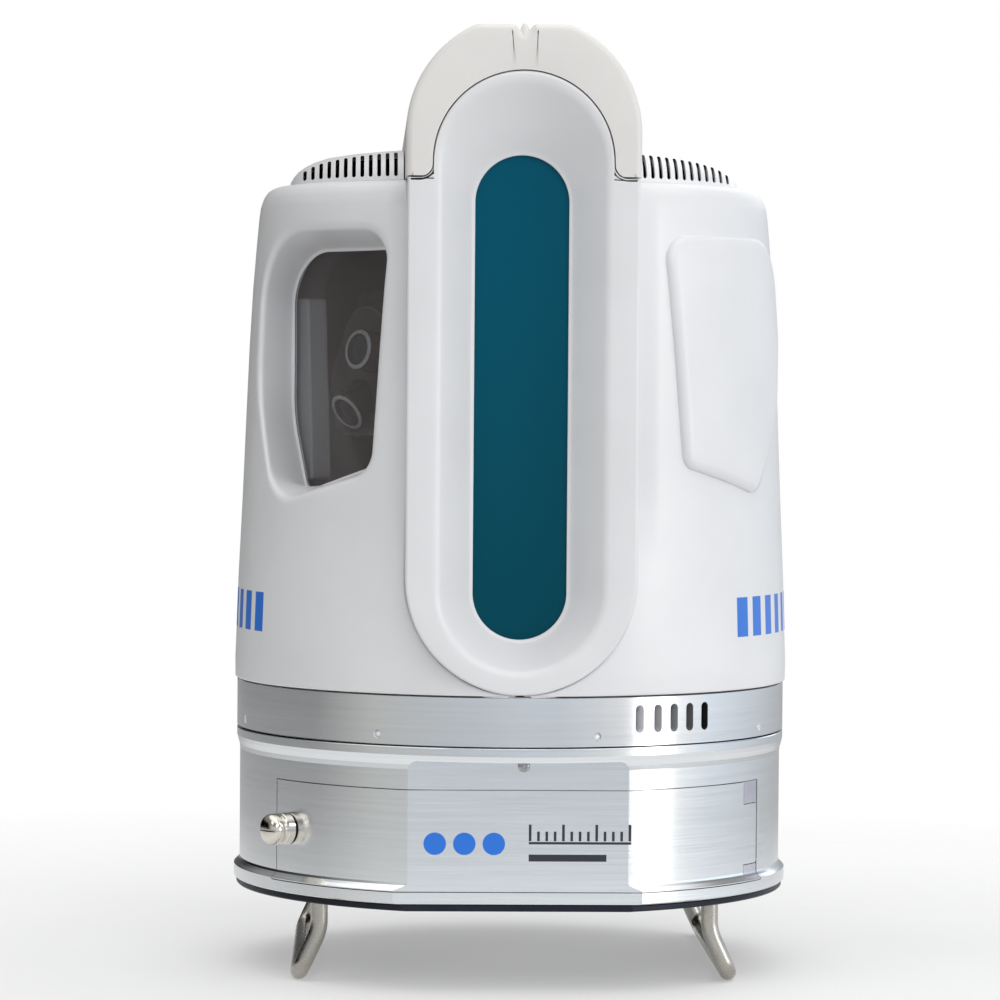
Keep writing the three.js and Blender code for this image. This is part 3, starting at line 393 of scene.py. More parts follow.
# ---- Making meshes ----
def as_object(name, points, faces, materials=()):
    """A mesh object, still in millimetres, with its faces turned outwards."""
    mesh = bpy.data.meshes.new(name)
    mesh.from_pydata([tuple(map(float, p)) for p in points], [], [tuple(map(int, f)) for f in faces])
    for material in materials:
        mesh.materials.append(material)
    work = bmesh.new()
    work.from_mesh(mesh)
    bmesh.ops.remove_doubles(work, verts=work.verts, dist=1e-4)
    bmesh.ops.dissolve_degenerate(work, edges=work.edges, dist=1e-5)
    bmesh.ops.recalc_face_normals(work, faces=work.faces)
    work.to_mesh(mesh)
    work.free()
    obj = bpy.data.objects.new(name, mesh)
    bpy.context.scene.collection.objects.link(obj)
    return obj


def quads(size, low, high, closed=True):
    """The faces between two rows of points that start at low and at high in the list."""
    steps = range(size if closed else size - 1)
    return [(low + k, low + (k + 1) % size, high + (k + 1) % size, high + k) for k in steps]


def loft(name, rings, wrap=False, materials=()):
    """A closed body through rings with the same number of points each, or right round if it wraps."""
    count, size = len(rings), len(rings[0])
    faces = []
    for i in range(count if wrap else count - 1):
        faces += quads(size, i * size, ((i + 1) % count) * size)
    if not wrap:
        faces += [tuple(range(size)), tuple(range((count - 1) * size, count * size))]
    return as_object(name, np.concatenate(rings), faces, materials)


def turned(name, profile, facets=FACETS, materials=()):
    """A body turned about Z from a closed (radius, z) profile."""
    angles = np.arange(facets) * 2 * np.pi / facets
    rings = [
        np.stack([r * np.sin(angles), -r * np.cos(angles), np.full(facets, z)], 1) for r, z in profile
    ]
    return loft(name, rings, True, materials)


def prism(name, outline, low, high, materials=()):
    """An (x, y) outline stood up along Z."""
    return loft(name, [[(x, y, z) for x, y in outline] for z in (low, high)], False, materials)


def post(x, y, radius, low, high, facets):
    """A round prism along Z."""
    return prism("post", arc(x, y, radius, 0, 360, facets + 1)[:-1], low, high)


def turn_to_y(obj):
    """Lays a body that was made along Z down, so that its Z runs along -Y and its Y along Z."""
    obj.data.transform(Matrix.Rotation(math.radians(90), 4, "X"))
    return obj


def turn_to_back(obj):
    """Lays a body that was made along Z down, so that its Z runs along +Y."""
    obj.data.transform(Matrix.Rotation(math.radians(-90), 4, "X"))
    return obj


def moved(obj, x=0, y=0, z=0):
    obj.data.transform(Matrix.Translation((x, y, z)))
    return obj


def spun(obj, degrees):
    obj.data.transform(Matrix.Rotation(math.radians(degrees), 4, "Z"))
    return obj


def applied(obj):
    """Bakes an object's modifiers into its mesh."""
    made = bpy.data.meshes.new_from_object(obj.evaluated_get(bpy.context.evaluated_depsgraph_get()))
    obj.modifiers.clear()
    obj.data = made
    return obj


def boolean(obj, tool, operation="DIFFERENCE"):
    """Cuts the tool out of obj, or keeps what they share, and removes the tool."""
    cut = obj.modifiers.new("cut", "BOOLEAN")
    cut.operation, cut.solver, cut.object = operation, "EXACT", tool
    cut.material_mode = "TRANSFER"
    applied(obj)
    if not any(obj.data.materials):
        obj.data.materials.clear()
    bpy.data.objects.remove(tool)
    return obj


def smooth(obj, angle=35):
    obj.data.shade_smooth()
    obj.data.set_sharp_from_angle(angle=math.radians(angle))
    return obj


def smooth_turned(obj):
    """Gives every face that lies round the Z axis the exact normals of the surface that it stands for."""
    mesh = obj.data
    mesh.shade_smooth()
    points, corner = np.zeros(len(mesh.vertices) * 3), np.zeros(len(mesh.loops), int)
    mesh.vertices.foreach_get("co", points)
    mesh.loops.foreach_get("vertex_index", corner)
    normals, totals = np.zeros(len(mesh.polygons) * 3), np.zeros(len(mesh.polygons), int)
    mesh.polygons.foreach_get("normal", normals)
    mesh.polygons.foreach_get("loop_total", totals)
    face = np.repeat(np.arange(len(totals)), totals)
    normals = normals.reshape(-1, 3)[face]
    outward = points.reshape(-1, 3)[corner][:, :2]
    outward /= np.maximum(np.linalg.norm(outward, axis=1), 1e-9)[:, None]
    flat = np.linalg.norm(normals[:, :2], axis=1)
    along = (normals[:, :2] * outward).sum(1) / np.maximum(flat, 1e-9)
    starts = np.concatenate([[0], np.cumsum(totals)[:-1]])
    least = np.minimum.reduceat(np.abs(along), starts)[face]
    here = (flat > 0.02) & (least > 0.9997)
    result = normals.copy()
    result[here, :2] = (outward * (flat * np.sign(along))[:, None])[here]
    mesh.normals_split_custom_set([tuple(v) for v in result])
    return obj


def finished(obj, *nodes, slot=None, body=None, materials=None):
    """Brings a piece to metres, gives it its material and body, and hides the carried-over nodes that it
    stands for.
    """
    obj.data.transform(Matrix.Scale(SCALE, 4))
    slot = slot or SLOT_OF[nodes[0]]
    if not obj.data.materials:
        for material in materials or [MATERIALS[slot]]:
            obj.data.materials.append(material)
    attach(obj, body or BODY_OF[nodes[0]])
    if nodes:
        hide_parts(*nodes)
    return obj


# ---- Outlines ----
def arc(x, y, radius, start, end, count):
    angles = np.radians(np.linspace(start, end, count))
    return np.stack([x + radius * np.cos(angles), y + radius * np.sin(angles)], 1)


def rounded(corners, count=14):
    """A closed outline through corners (x, y, radius), counter-clockwise, each one rounded."""
    points = []
    for i, (x, y, radius) in enumerate(corners):
        here = np.array((x, y), float)
        back = np.array(corners[i - 1][:2]) - here
        onward = np.array(corners[(i + 1) % len(corners)][:2]) - here
        back, onward = back / np.linalg.norm(back), onward / np.linalg.norm(onward)
        half = math.acos(np.clip(back @ onward, -1, 1)) / 2
        middle = back + onward
        centre = here + middle / np.linalg.norm(middle) * radius / math.sin(half)
        start = here + back * radius / math.tan(half) - centre
        end = here + onward * radius / math.tan(half) - centre
        first = math.atan2(start[1], start[0])
        sweep = (math.atan2(end[1], end[0]) - first + math.pi) % (2 * math.pi) - math.pi
        for step in np.linspace(0, 1, count):
            angle = first + sweep * step
            points.append(centre + radius * np.array((math.cos(angle), math.sin(angle))))
    return np.array(points)


def bezier(a, b, c, count):
    return [(1 - t) ** 2 * a + 2 * t * (1 - t) * b + t * t * c for t in np.linspace(0, 1, count)]


def box_outline(x0, x1, y0, y1, radius, count=8):
    return rounded(((x1, y1, radius), (x0, y1, radius), (x0, y0, radius), (x1, y0, radius)), count)


def stadium(half, low, high, count=24):
    return np.concatenate([arc(0, low, half, 180, 360, count), arc(0, high, half, 0, 180, count)])


def spread(outline, step):
    """The same closed outline with points about a step apart."""
    points = []
    for a, b in zip(outline, np.roll(outline, -1, 0)):
        pieces = max(1, int(round(np.linalg.norm(b - a) / step)))
        points += [a + (b - a) * k / pieces for k in range(pieces)]
    return np.array(points)


def inset(outline, by):
    """Moves each point of a counter-clockwise outline inwards along its normal."""
    along = np.roll(outline, -1, 0) - np.roll(outline, 1, 0)
    along /= np.maximum(np.linalg.norm(along, axis=1), 1e-9)[:, None]
    return outline + by * np.stack([-along[:, 1], along[:, 0]], 1)


def hit(outline, centre, targets):
    """Where the rays from a centre towards each target cross an outline."""
    found = []
    a, b = outline, np.roll(outline, -1, 0)
    edge = b - a
    for target in targets:
        ray = target - centre
        offset = a - centre
        cross = ray[0] * edge[:, 1] - ray[1] * edge[:, 0]
        cross = np.where(np.abs(cross) < 1e-12, 1e-12, cross)
        reach = (offset[:, 0] * edge[:, 1] - offset[:, 1] * edge[:, 0]) / cross
        share = (offset[:, 0] * ray[1] - offset[:, 1] * ray[0]) / cross
        good = (share >= -1e-9) & (share <= 1 + 1e-9) & (reach > 0)
        found.append(centre + ray * reach[good].max())
    return np.array(found)


def around(angle, radius):
    return np.array((radius * math.sin(math.radians(angle)), -radius * math.cos(math.radians(angle))))


def sector(start, end, near, far, step=1.0):
    """The plan of a wedge between two angles; near and far are radii, or give a radius for an angle."""
    angles = np.linspace(start, end, max(2, int((end - start) / step)))
    outer = [around(a, far(a) if callable(far) else far) for a in angles]
    inner = [around(a, near(a) if callable(near) else near) for a in angles[::-1]]
    return outer + inner


def flat_fronted(radius, front):
    """The radius, for an angle, of a round core whose front is cut flat."""
    def reach(angle):
        cosine = math.cos(math.radians(angle))
        return min(radius, front / cosine) if cosine > 0 else radius
    return reach


# ---- Base ----
def envelope(name):
    body = turned(name, [
        (0.01, PLATE_TOP + 0.3), (LIP_R - 0.5, PLATE_TOP + 0.3), (LIP_R, PLATE_TOP + 0.8),
        (LIP_R, LIP_TOP - 0.3), (LIP_R - 0.3, LIP_TOP), (WALL_R + 0.9, LIP_TOP + 0.9),
        (WALL_R + 0.25, LIP_TOP + 1.7), (WALL_R, WALL_BOTTOM),
        (WALL_R, WALL_TOP), (WALL_R + 0.2, WALL_TOP + 1.8), (WALL_R + 0.8, FLANGE_BOTTOM - 1.2),
        (FLANGE_R - 0.1, FLANGE_BOTTOM), (FLANGE_R, FLANGE_BOTTOM + 0.4), (FLANGE_R, BASE_TOP - 0.3),
        (FLANGE_R - 0.3, BASE_TOP), (0.01, BASE_TOP),
    ])
    x, z = PAD_HALF - PAD_CORNER, PAD_TOP - PAD_CORNER
    outline = [(-PAD_LOW_HALF, 20), (PAD_LOW_HALF, 20), (PAD_LOW_HALF, 41), (PAD_HALF, 41),
               *arc(x, z, PAD_CORNER, 0, 90, 8), *arc(-x, z, PAD_CORNER, 90, 180, 8),
               (-PAD_HALF, 41), (-PAD_LOW_HALF, 41)]
    return boolean(body, turn_to_y(prism("pad", outline, -PAD_Y, 125)))


def hinge_disc(radius, low, high):
    return post(*around(HINGE_ANGLE, HINGE_R), radius, low, high, 64)


def screw_bore():
    return laid_on_screw(post(0, 0, SCREW_BORE_R, 80, 125, 32))


def laid_on_screw(obj):
    """Lays a body that was made along Z along the door screw's axis."""
    return spun(moved(turn_to_y(obj), 0, 0, SCREW_Z), SCREW_ANGLE)


def bore_for_feet(obj, top):
    for x in (-FOOT_TOP_X, FOOT_TOP_X):
        for y in (-FOOT_Y, FOOT_Y):
            boolean(obj, post(x, y, ROD_R + 0.3, 0, top, 32))


def make_base():
    base = envelope("base_shell")
    door = sector(DOOR["left"], DOOR["right"], flat_fronted(*RABBET), 130)
    bay = sector(-50, 52, 80, 130)
    core = sector(-180, 179, flat_fronted(*CORE), flat_fronted(*CORE))[:360]
    for tool in (
        prism("core", core, 0, DECK_BOTTOM),
        post(0, 0, 50, 80, 100, 96),
        prism("door", door, DOOR["bottom"], DOOR["top"]),
        prism("bay", bay, 40.2, 72.3),
        screw_bore(),
        hinge_disc(3.7, DOOR["bottom"], DOOR["top"]),
    ):
        boolean(base, tool)
    for x in (-SOCKET_X, SOCKET_X):
        boolean(base, moved(turn_to_y(post(0, 0, 8, -120, -85, 48)), x, 0, SOCKET_Z))
    boolean(base, moved(turn_to_y(post(0, 0, 1.5, 94.5, 104, 16)), *FLANGE_SCREW_AT))
    bore_for_feet(base, ROD_END_Z + 0.3)
    finished(smooth_turned(base), "base_housing")


def make_door():
    door = envelope("door_panel")
    wedge = sector(DOOR["left"] + SIDE_GAP, DOOR["right"] - SIDE_GAP, flat_fronted(*DOOR_BACK), 130)
    boolean(door, prism("wedge", wedge, DOOR["bottom"] + DOOR_GAP, DOOR["top"] - DOOR_GAP), "INTERSECT")
    boolean(door, hinge_disc(BLOCK_REACH + 0.3, 66.5, 90))
    boolean(door, hinge_disc(BLOCK_REACH + 0.3, 20, 43.6))
    boolean(door, screw_bore())
    finished(smooth_turned(door), "battery_door")
    blocks = {
        "hinge_block_top": (BLOCK_TOP_Z, DOOR["top"]),
        "hinge_block_bottom": (DOOR["bottom"], BLOCK_LOW_Z),
    }
    for name, (low, high) in blocks.items():
        block = envelope(name + "_shaped")
        wedge = sector(50, DOOR["right"] - 0.15, 99.8, 130)
        boolean(block, prism("wedge", wedge, low + 0.2, high - 0.2), "INTERSECT")
        boolean(block, hinge_disc(BLOCK_REACH, low - 5, high + 5), "INTERSECT")
        finished(smooth_turned(block), name, materials=[HINGE_FINISH])


def make_plate():
    plate = turned("bottom_plate_disc", [
        (20.3, PLATE_BOTTOM), (FLANGE_R - 0.5, PLATE_BOTTOM), (FLANGE_R, PLATE_BOTTOM + 0.5),
        (FLANGE_R, PLATE_TOP - 0.3), (FLANGE_R - 0.3, PLATE_TOP), (20.3, PLATE_TOP),
    ])
    boolean(plate, prism("front", box_outline(-PAD_LOW_HALF, PAD_LOW_HALF, -125, PAD_Y - 0.5, 1), 0, 50))
    bore_for_feet(plate, 50)
    finished(smooth_turned(plate), "bottom_plate")
    bush = turned("tripod_bush_turned", [
        (7.9, 28.5), (19.6, 28.5), (20, 28.9), (20, 32.7), (24, 32.7), (24, 40), (7.9, 40), (7.3, 39.4),
        *[(7.3 if i % 2 else 7.9, 38.6 - 0.77 * i) for i in range(12)],
    ], 96)
    finished(smooth(bush, 40), "tripod_bush")


def make_feet():
    """Bent rods: a smooth sweep along each strand, its bends and the bar on the ground."""
    for name, side in (("foot_left", -1), ("foot_right", 1)):
        bar_z, knee = ROD_R - FOOT_FLAT, 19.5
        # Each corner with how far before and after it the rod bends.
        corners = [
            (FOOT_TOP_X, -FOOT_Y, ROD_END_Z, 0, 0), (FOOT_TOP_X, -FOOT_Y, knee, 4, 4),
            (FOOT_BAR_X, -FOOT_Y, bar_z, 6.5, 9), (FOOT_BAR_X, FOOT_Y, bar_z, 9, 6.5),
            (FOOT_TOP_X, FOOT_Y, knee, 4, 4), (FOOT_TOP_X, FOOT_Y, ROD_END_Z, 0, 0),
        ]
        centres = []
        for i, (x, y, z, ahead, past) in enumerate(corners):
            here = np.array((x, y, z), float)
            if not ahead:
                centres.append(here)
                continue
            before = np.array(corners[i - 1][:3]) - here
            after = np.array(corners[i + 1][:3]) - here
            start = here + before / np.linalg.norm(before) * ahead
            end = here + after / np.linalg.norm(after) * past
            centres += bezier(start, here, end, 15)
        centres = np.array(centres) * (side, 1, 1)
        along = np.gradient(centres, axis=0)
        along /= np.linalg.norm(along, axis=1)[:, None]
        rings = []
        sideways = np.array((side, 0.0, 0.0))
        for centre, forward in zip(centres, along):
            sideways = sideways - forward * (sideways @ forward)
            sideways /= np.linalg.norm(sideways)
            other = np.cross(forward, sideways)
            turn = np.linspace(0, 2 * np.pi, 33)[:-1]
            ring = centre + ROD_R * (np.cos(turn)[:, None] * sideways + np.sin(turn)[:, None] * other)
            ring[:, 2] = np.maximum(ring[:, 2], 0)
            rings.append(ring)
        finished(smooth(loft(name + "_rod", rings), 40), name)


def make_door_screw():
    profile = [
        (0.01, 92.2), (2.4, 92.4), (2.9, 92.9), (3, 93.2), (3, 106.7), (5.7, 106.7), (6, 107), (6, 109.8),
        (5.8, 110.1), (5.3, 110.4), (5.15, 110.8), (5.15, 111.3), (5.4, 111.8), (5.8, 112.1), (5.95, 112.5),
        (5.95, 114), (5.75, 114.9), (5.2, 115.8), (4.3, 116.5), (3, 117), (1.5, 117.25), (0.01, 117.3),
    ]
    screw = turned("captive_screw", profile, 96)
    boolean(screw, prism("slot", box_outline(-7, 7, -0.5, 0.5, 0.1, 2), 115.9, 119))
    finished(smooth(laid_on_screw(screw), 30), "door_screw")


def make_sockets():
    for name, x in (("power_socket", -SOCKET_X), ("data_socket", SOCKET_X)):
        profile = [
            (0.01, 92), (7.7, 92), (7.7, 106.6), (9.7, 106.6), (10, 106.9), (10, 108), (9.6, 108.4),
            (8, 108.6),
            (7.6, 108.3), (7.3, 108.3), (7, 108.7), (6.7, 109), (2, 109), (1.6, 108.5), (0.01, 108.5),
        ]
        socket = turned(name + "_capped", profile, 96)
        finished(smooth(moved(turn_to_back(socket), x, 0, SOCKET_Z), 30), name)
    head = turned("flange_screw_turned", [
        (0.01, 95.5), (1.2, 95.5), (1.2, 98.3), (2.1, 98.3), (2.2, 98.4), (2.2, 101.1), (1.9, 101.5),
        (1.2, 101.9), (0.9, 101.6), (0.01, 101.5),
    ], 48)
    moved(turn_to_y(head), *FLANGE_SCREW_AT)
    boolean(head, prism("lid", box_outline(-10, 10, -120, -90, 1), PAD_TOP - 0.25, 100))
    finished(smooth(head, 30), "flange_screw")


# ---- Head ring ----
def make_ring():
    ring = turned("ring_band", [
        (RING_INNER_R, RING_LOW), (FLANGE_R - 0.4, RING_LOW), (FLANGE_R, RING_LOW + 0.4),
        (FLANGE_R, RING_HIGH - 0.4), (FLANGE_R - 0.4, RING_HIGH), (RING_INNER_R, RING_HIGH),
    ], materials=(MATERIALS["ring_aluminium"], BLASTED_WITH_PAINTED_SHADE))
    # The slot cutters carry the bead-blast finish and its painted shade onto the slots' sides.
    for angle in SLOT_ANGLES:
        slot = turn_to_y(prism("slot", stadium(1.75, 98.6, 105.6, 12), 96, 120, (BLASTED_WITH_PAINTED_SHADE,)))
        boolean(ring, spun(slot, angle))
    for i in range(RING_SCREWS):
        dimple = turned("dimple", [
            (0.01, 107.1), (0.5, 107.0), (0.95, 106.7), (1.2, 106.3), (1.3, 105.9), (1.6, 105.9),
            (1.6, 109), (0.01, 109),
        ], 32, (PALE_STEEL_AND_GLINT,))
        boolean(ring, spun(moved(turn_to_y(dimple), 0, 0, 95.8), 15.7 + 360 / RING_SCREWS * i))
    finished(smooth_turned(ring), "head_ring")


# ---- White housings ----
def profile_radius(z):
    return float(np.interp(z, PROFILE_Z, PROFILE_R))


def smooth_step(x):
    x = min(max(x, 0.0), 1.0)
    return x * x * (3 - 2 * x)


def spine_edge(z):
    """Half the width of the gap for the spine at a height."""
    if z >= SPINE_ARC_Z:
        return EDGE_HALF
    return max(EDGE_LEAST, math.sqrt(max(EDGE_HALF ** 2 - (SPINE_ARC_Z - z) ** 2, 0)))


def roll_off(distance, radius):
    """How far a surface drops at a distance from a rounded edge."""
    return radius - math.sqrt(max(radius ** 2 - (radius - distance) ** 2, 0)) if distance < radius else 0.0


def skin(angle, z, radius=None):
    """A point of the housing's surface; beside the spine it sinks into a shallow valley."""
    reach = profile_radius(z) if radius is None else radius
    x, y = around(angle, reach)
    distance = max(math.hypot(x, max(SPINE_ARC_Z - z, 0)) - EDGE_HALF, 0.0)
    valley = VALLEY_DEPTH * smooth_step((z - 150) / 45) * (1 - smooth_step((z - 292) / 9))
    reach -= valley * (1 - smooth_step(distance / VALLEY_WIDTH))
    reach -= roll_off(distance, EDGE_ROLL) + roll_off(z - HOUSING_LOW, LOW_ROLL)
    return np.array((*around(angle, reach), z))


def make_housing(side):
    """The skin of one half: a grid over angle and height, with a patch that is left out for the pocket."""
    rows = [110.9, 111.0, 111.2, 111.5, 112, 113, *np.arange(114.5, 174, 1.75), *np.arange(174, 291.1, 1.5)]
    rows = [(z, None) for z in rows]
    top = (292.2, 293.4, 294.6, 295.8, 297, 298, 298.9, 299.8, 300.6, 301.2, 301.7, 302.1)
    rows += [(z, None) for z in top]
    rows += [(SHOULDER - 0.15, 93.2), (SHOULDER, 92.0), (SHOULDER, 89.5), (SHOULDER, 86.5), (SHOULDER, 83)]
    constant = np.arange(PATCH["start"], 153.01, STEP)
    fan = np.linspace(0, 1, 26)[1:-1]
    grid = []
    for z, radius in rows:
        reach = radius or profile_radius(z)
        edge = math.degrees(math.asin(spine_edge(z) / reach))
        first = PATCH["start"] if z <= 293.5 else max(PATCH["start"], edge + 1.6)
        near = [edge + math.degrees(d / reach) for d in (0, 0.2, 0.5, 0.9)]
        start = near[-1]
        angles = near + [start + (first - start) * t for t in fan]
        middle = first + (constant - PATCH["start"]) * (90 - first) / (90 - PATCH["start"])
        half = angles + [a for a in middle if a < 90 - 1e-6]
        angles = half + [90.0] + [180 - a for a in half[::-1]]
        grid.append([skin(side * a, z, radius) for a in angles])
    count = len(grid[0])
    points = [p for row in grid for p in row]
    lead = 4 + len(fan)
    patch_columns = (lead, lead + int(round((PATCH["end"] - PATCH["start"]) / STEP)))
    zs = [z for z, _ in rows]
    patch_rows = (zs.index(PATCH["low"]), min(range(len(zs)), key=lambda k: abs(zs[k] - PATCH["high"])))
    faces = []
    for i in range(len(rows) - 1):
        for k in range(count - 1):
            inside = patch_rows[0] <= i < patch_rows[1] and patch_columns[0] <= k < patch_columns[1]
            if side < 0 and inside:
                continue
            faces.append((i * count + k, i * count + k + 1, (i + 1) * count + k + 1, (i + 1) * count + k))
    if side < 0:
        add_pocket(points, faces, count, patch_columns, patch_rows)
    name = "housing_left" if side < 0 else "housing_right"
    body = as_object(name + "_skin", points, faces)
    thicken = body.modifiers.new("wall", "SOLIDIFY")
    thicken.thickness, thicken.offset = HOUSING_WALL, -1
    finished(smooth(applied(body), 50), name)


def add_pocket(points, faces, count, columns, rows):
    """Fills the patch with rings that run from its border over the rim and down to the camera pane."""
    border = [(rows[0], k) for k in range(columns[0], columns[1])]
    border += [(i, columns[1]) for i in range(rows[0], rows[1])]
    border += [(rows[1], k) for k in range(columns[1], columns[0], -1)]
    border += [(i, columns[0]) for i in range(rows[1], rows[0], -1)]
    out, along = around(POCKET_ANGLE, 1), around(POCKET_ANGLE + 90, 1)
    indices = [i * count + k for i, k in border]
    flat = np.array([(points[i][:2] @ along, points[i][2]) for i in indices])
    centre = np.array(POCKET_CENTRE)
    rim = hit(rounded(POCKET_RIM, 24), centre, flat)
    floor = hit(rounded(POCKET_FLOOR, 24), centre, flat)

    def on_skin(u, z):
        return skin(POCKET_ANGLE + math.degrees(math.asin(u / profile_radius(z))), z)

    def on_pane(u, z, n=PANE_N):
        return np.array((*(out * n + along * u), z))

    lines = []
    for start, rim_at, floor_at in zip(flat, rim, floor):
        away = rim_at - centre
        away /= np.linalg.norm(away)
        roll = min(RIM_ROLL, 0.6 * np.linalg.norm(start - rim_at))
        outer = rim_at + away * roll
        line = [on_skin(*(start + (outer - start) * t)) for t in (0.2, 0.4, 0.6, 0.8)]
        edge, base = on_skin(*rim_at), on_pane(*floor_at)
        drop = base - edge
        length = np.linalg.norm(drop)
        upper, lower = edge + drop * min(RIM_ROLL / length, 0.4), base - drop * min(FLOOR_ROLL / length, 0.3)
        line += bezier(on_skin(*outer), edge, upper, 9)
        line += [upper + (lower - upper) * t for t in (0.25, 0.5, 0.75)]
        inner = floor_at - away * 0.9
        line += bezier(lower, base, on_pane(*inner), 5)
        line += [on_pane(*(floor_at - away * 1.1), PANE_N - 0.15)]
        lines.append(line)
    size, depth, first = len(lines), len(lines[0]), len(points)
    for step in range(depth):
        points.extend(line[step] for line in lines)
    rings = [indices] + [[first + step * size + k for k in range(size)] for step in range(depth)]
    for a, b in zip(rings, rings[1:]):
        faces += [(a[k], a[(k + 1) % size], b[(k + 1) % size], b[k]) for k in range(size)]


def make_side_cover():
    """The raised pad on the right housing: a rounded edge, then the surface's own curve to its centre."""
    outline = spread(rounded(COVER_OUTLINE, 20), 1.6)
    centre = np.array((0.0, 238.0))

    def place(point, lift):
        u, z = point
        reach = profile_radius(z)
        return np.array((*around(COVER_ANGLE + math.degrees(math.asin(u / reach)), reach + lift), z))

    edge = [
        (0, -0.6), (0, 0.5), (0.15, 1.1), (0.6, 1.8), (1.3, 2.35), (2.2, 2.7), (3.2, 2.9), (4.2, COVER_LIFT),
    ]
    rings = [[place(p, lift) for p in inset(outline, by)] for by, lift in edge]
    last = inset(outline, edge[-1][0])
    for share in np.linspace(0.9, 0.05, 18):
        rings.append([place(centre + (p - centre) * share, COVER_LIFT) for p in last])
    finished(smooth(loft("side_cover_pad", rings), 60), "side_cover")


# ---- Front bezel and cap ----
def matched_half(count_arc=44, count_side=60):
    """Matching points up the right half of the bezel's outline and of a stadium inside it."""
    low = np.linspace(-90, 0, count_arc)
    high = np.linspace(0, 90, count_arc)

    def outer(extra=0.0):
        neck, corner, shelf = NECK_HALF + extra, NECK_CORNER - extra, BEZEL_TOP + extra
        half = SPINE_HALF
        points = [(half * math.cos(a), SPINE_ARC_Z + half * math.sin(a)) for a in np.radians(low)]
        points += [(half, z) for z in np.linspace(SPINE_ARC_Z, shelf, count_side + 1)[1:]]
        points += [(x, shelf) for x in np.linspace(half, neck + corner, 5)[1:]]
        turn = np.radians(np.linspace(-90, -180, 9)[1:])
        points += [(neck + corner + corner * math.cos(a), shelf + corner + corner * math.sin(a))
                   for a in turn]
        points += [(neck * math.cos(a), NECK_ARC_Z + neck * math.sin(a)) for a in np.radians(high)]
        return np.array(points)

    def stadium_like(half, bottom, top):
        points = [(half * math.cos(a), bottom + half * math.sin(a)) for a in np.radians(low)]
        rise = top - bottom
        points += [(half, bottom + rise * t) for t in np.linspace(0, 0.965, count_side + 1)[1:]]
        points += [(half, bottom + rise * t) for t in np.linspace(0.965, 1, 13)[1:]]
        points += [(half * math.cos(a), top + half * math.sin(a)) for a in np.radians(high)]
        return np.array(points)

    return outer, stadium_like


def whole(half):
    """Both halves of an outline that is symmetrical about x = 0, counter-clockwise from its lowest point."""
    return np.concatenate([half, (half * (-1, 1))[-2:0:-1]])


def at_depth(outline, y):
    return np.stack([outline[:, 0], np.full(len(outline), y), outline[:, 1]], 1)


def rolled(ring_at, radius, plane, away, count):
    """Rings over a rounded edge; ring_at(by, y) gives the one that is drawn in by some way at a depth."""
    turns = np.radians(np.linspace(0, 90, count))
    return [ring_at(radius * (1 - math.cos(a)), plane + away * radius * (1 - math.sin(a))) for a in turns]


def make_bezel():
    outer, stadium_like = matched_half()
    outline = whole(outer())
    rim = whole(stadium_like(31, 150.5, 307))
    floor = whole(stadium_like(18.6, 148.6, 293.8))
    window = whole(stadium_like(17.5, 148.6, 293.8))
    front, back, floor_y, glass_y = SPINE_FRONT, SPINE_FRONT + MOULDING, -94.0, -92.3
    rings = [at_depth(outline, back), at_depth(outline, front + 6)]
    rings += rolled(lambda by, y: at_depth(inset(outline, by), y), 1.1, front, 1, 6)
    roll = 2.2
    wide = at_depth(inset(rim, -roll), front)
    edge, base = at_depth(rim, front), at_depth(floor, floor_y)
    drop = base - edge
    length = np.linalg.norm(drop, axis=1)[:, None]
    upper, lower = edge + drop * roll / length, base - drop * 2.2 / length
    inner = at_depth(inset(floor, 0.5), floor_y)
    rings += bezier(wide, edge, upper, 7)
    rings += [upper + (lower - upper) * t for t in (0.2, 0.4, 0.6, 0.8)]
    rings += bezier(lower, base, inner, 7)
    rings += [at_depth(inset(window, -0.25), floor_y), at_depth(window, floor_y + 0.25)]
    wall = inset(outline, 2.8)
    rings += [at_depth(window, glass_y), at_depth(wall, glass_y), at_depth(wall, back)]
    finished(smooth(loft("bezel_moulding", rings, True), 50), "front_bezel")


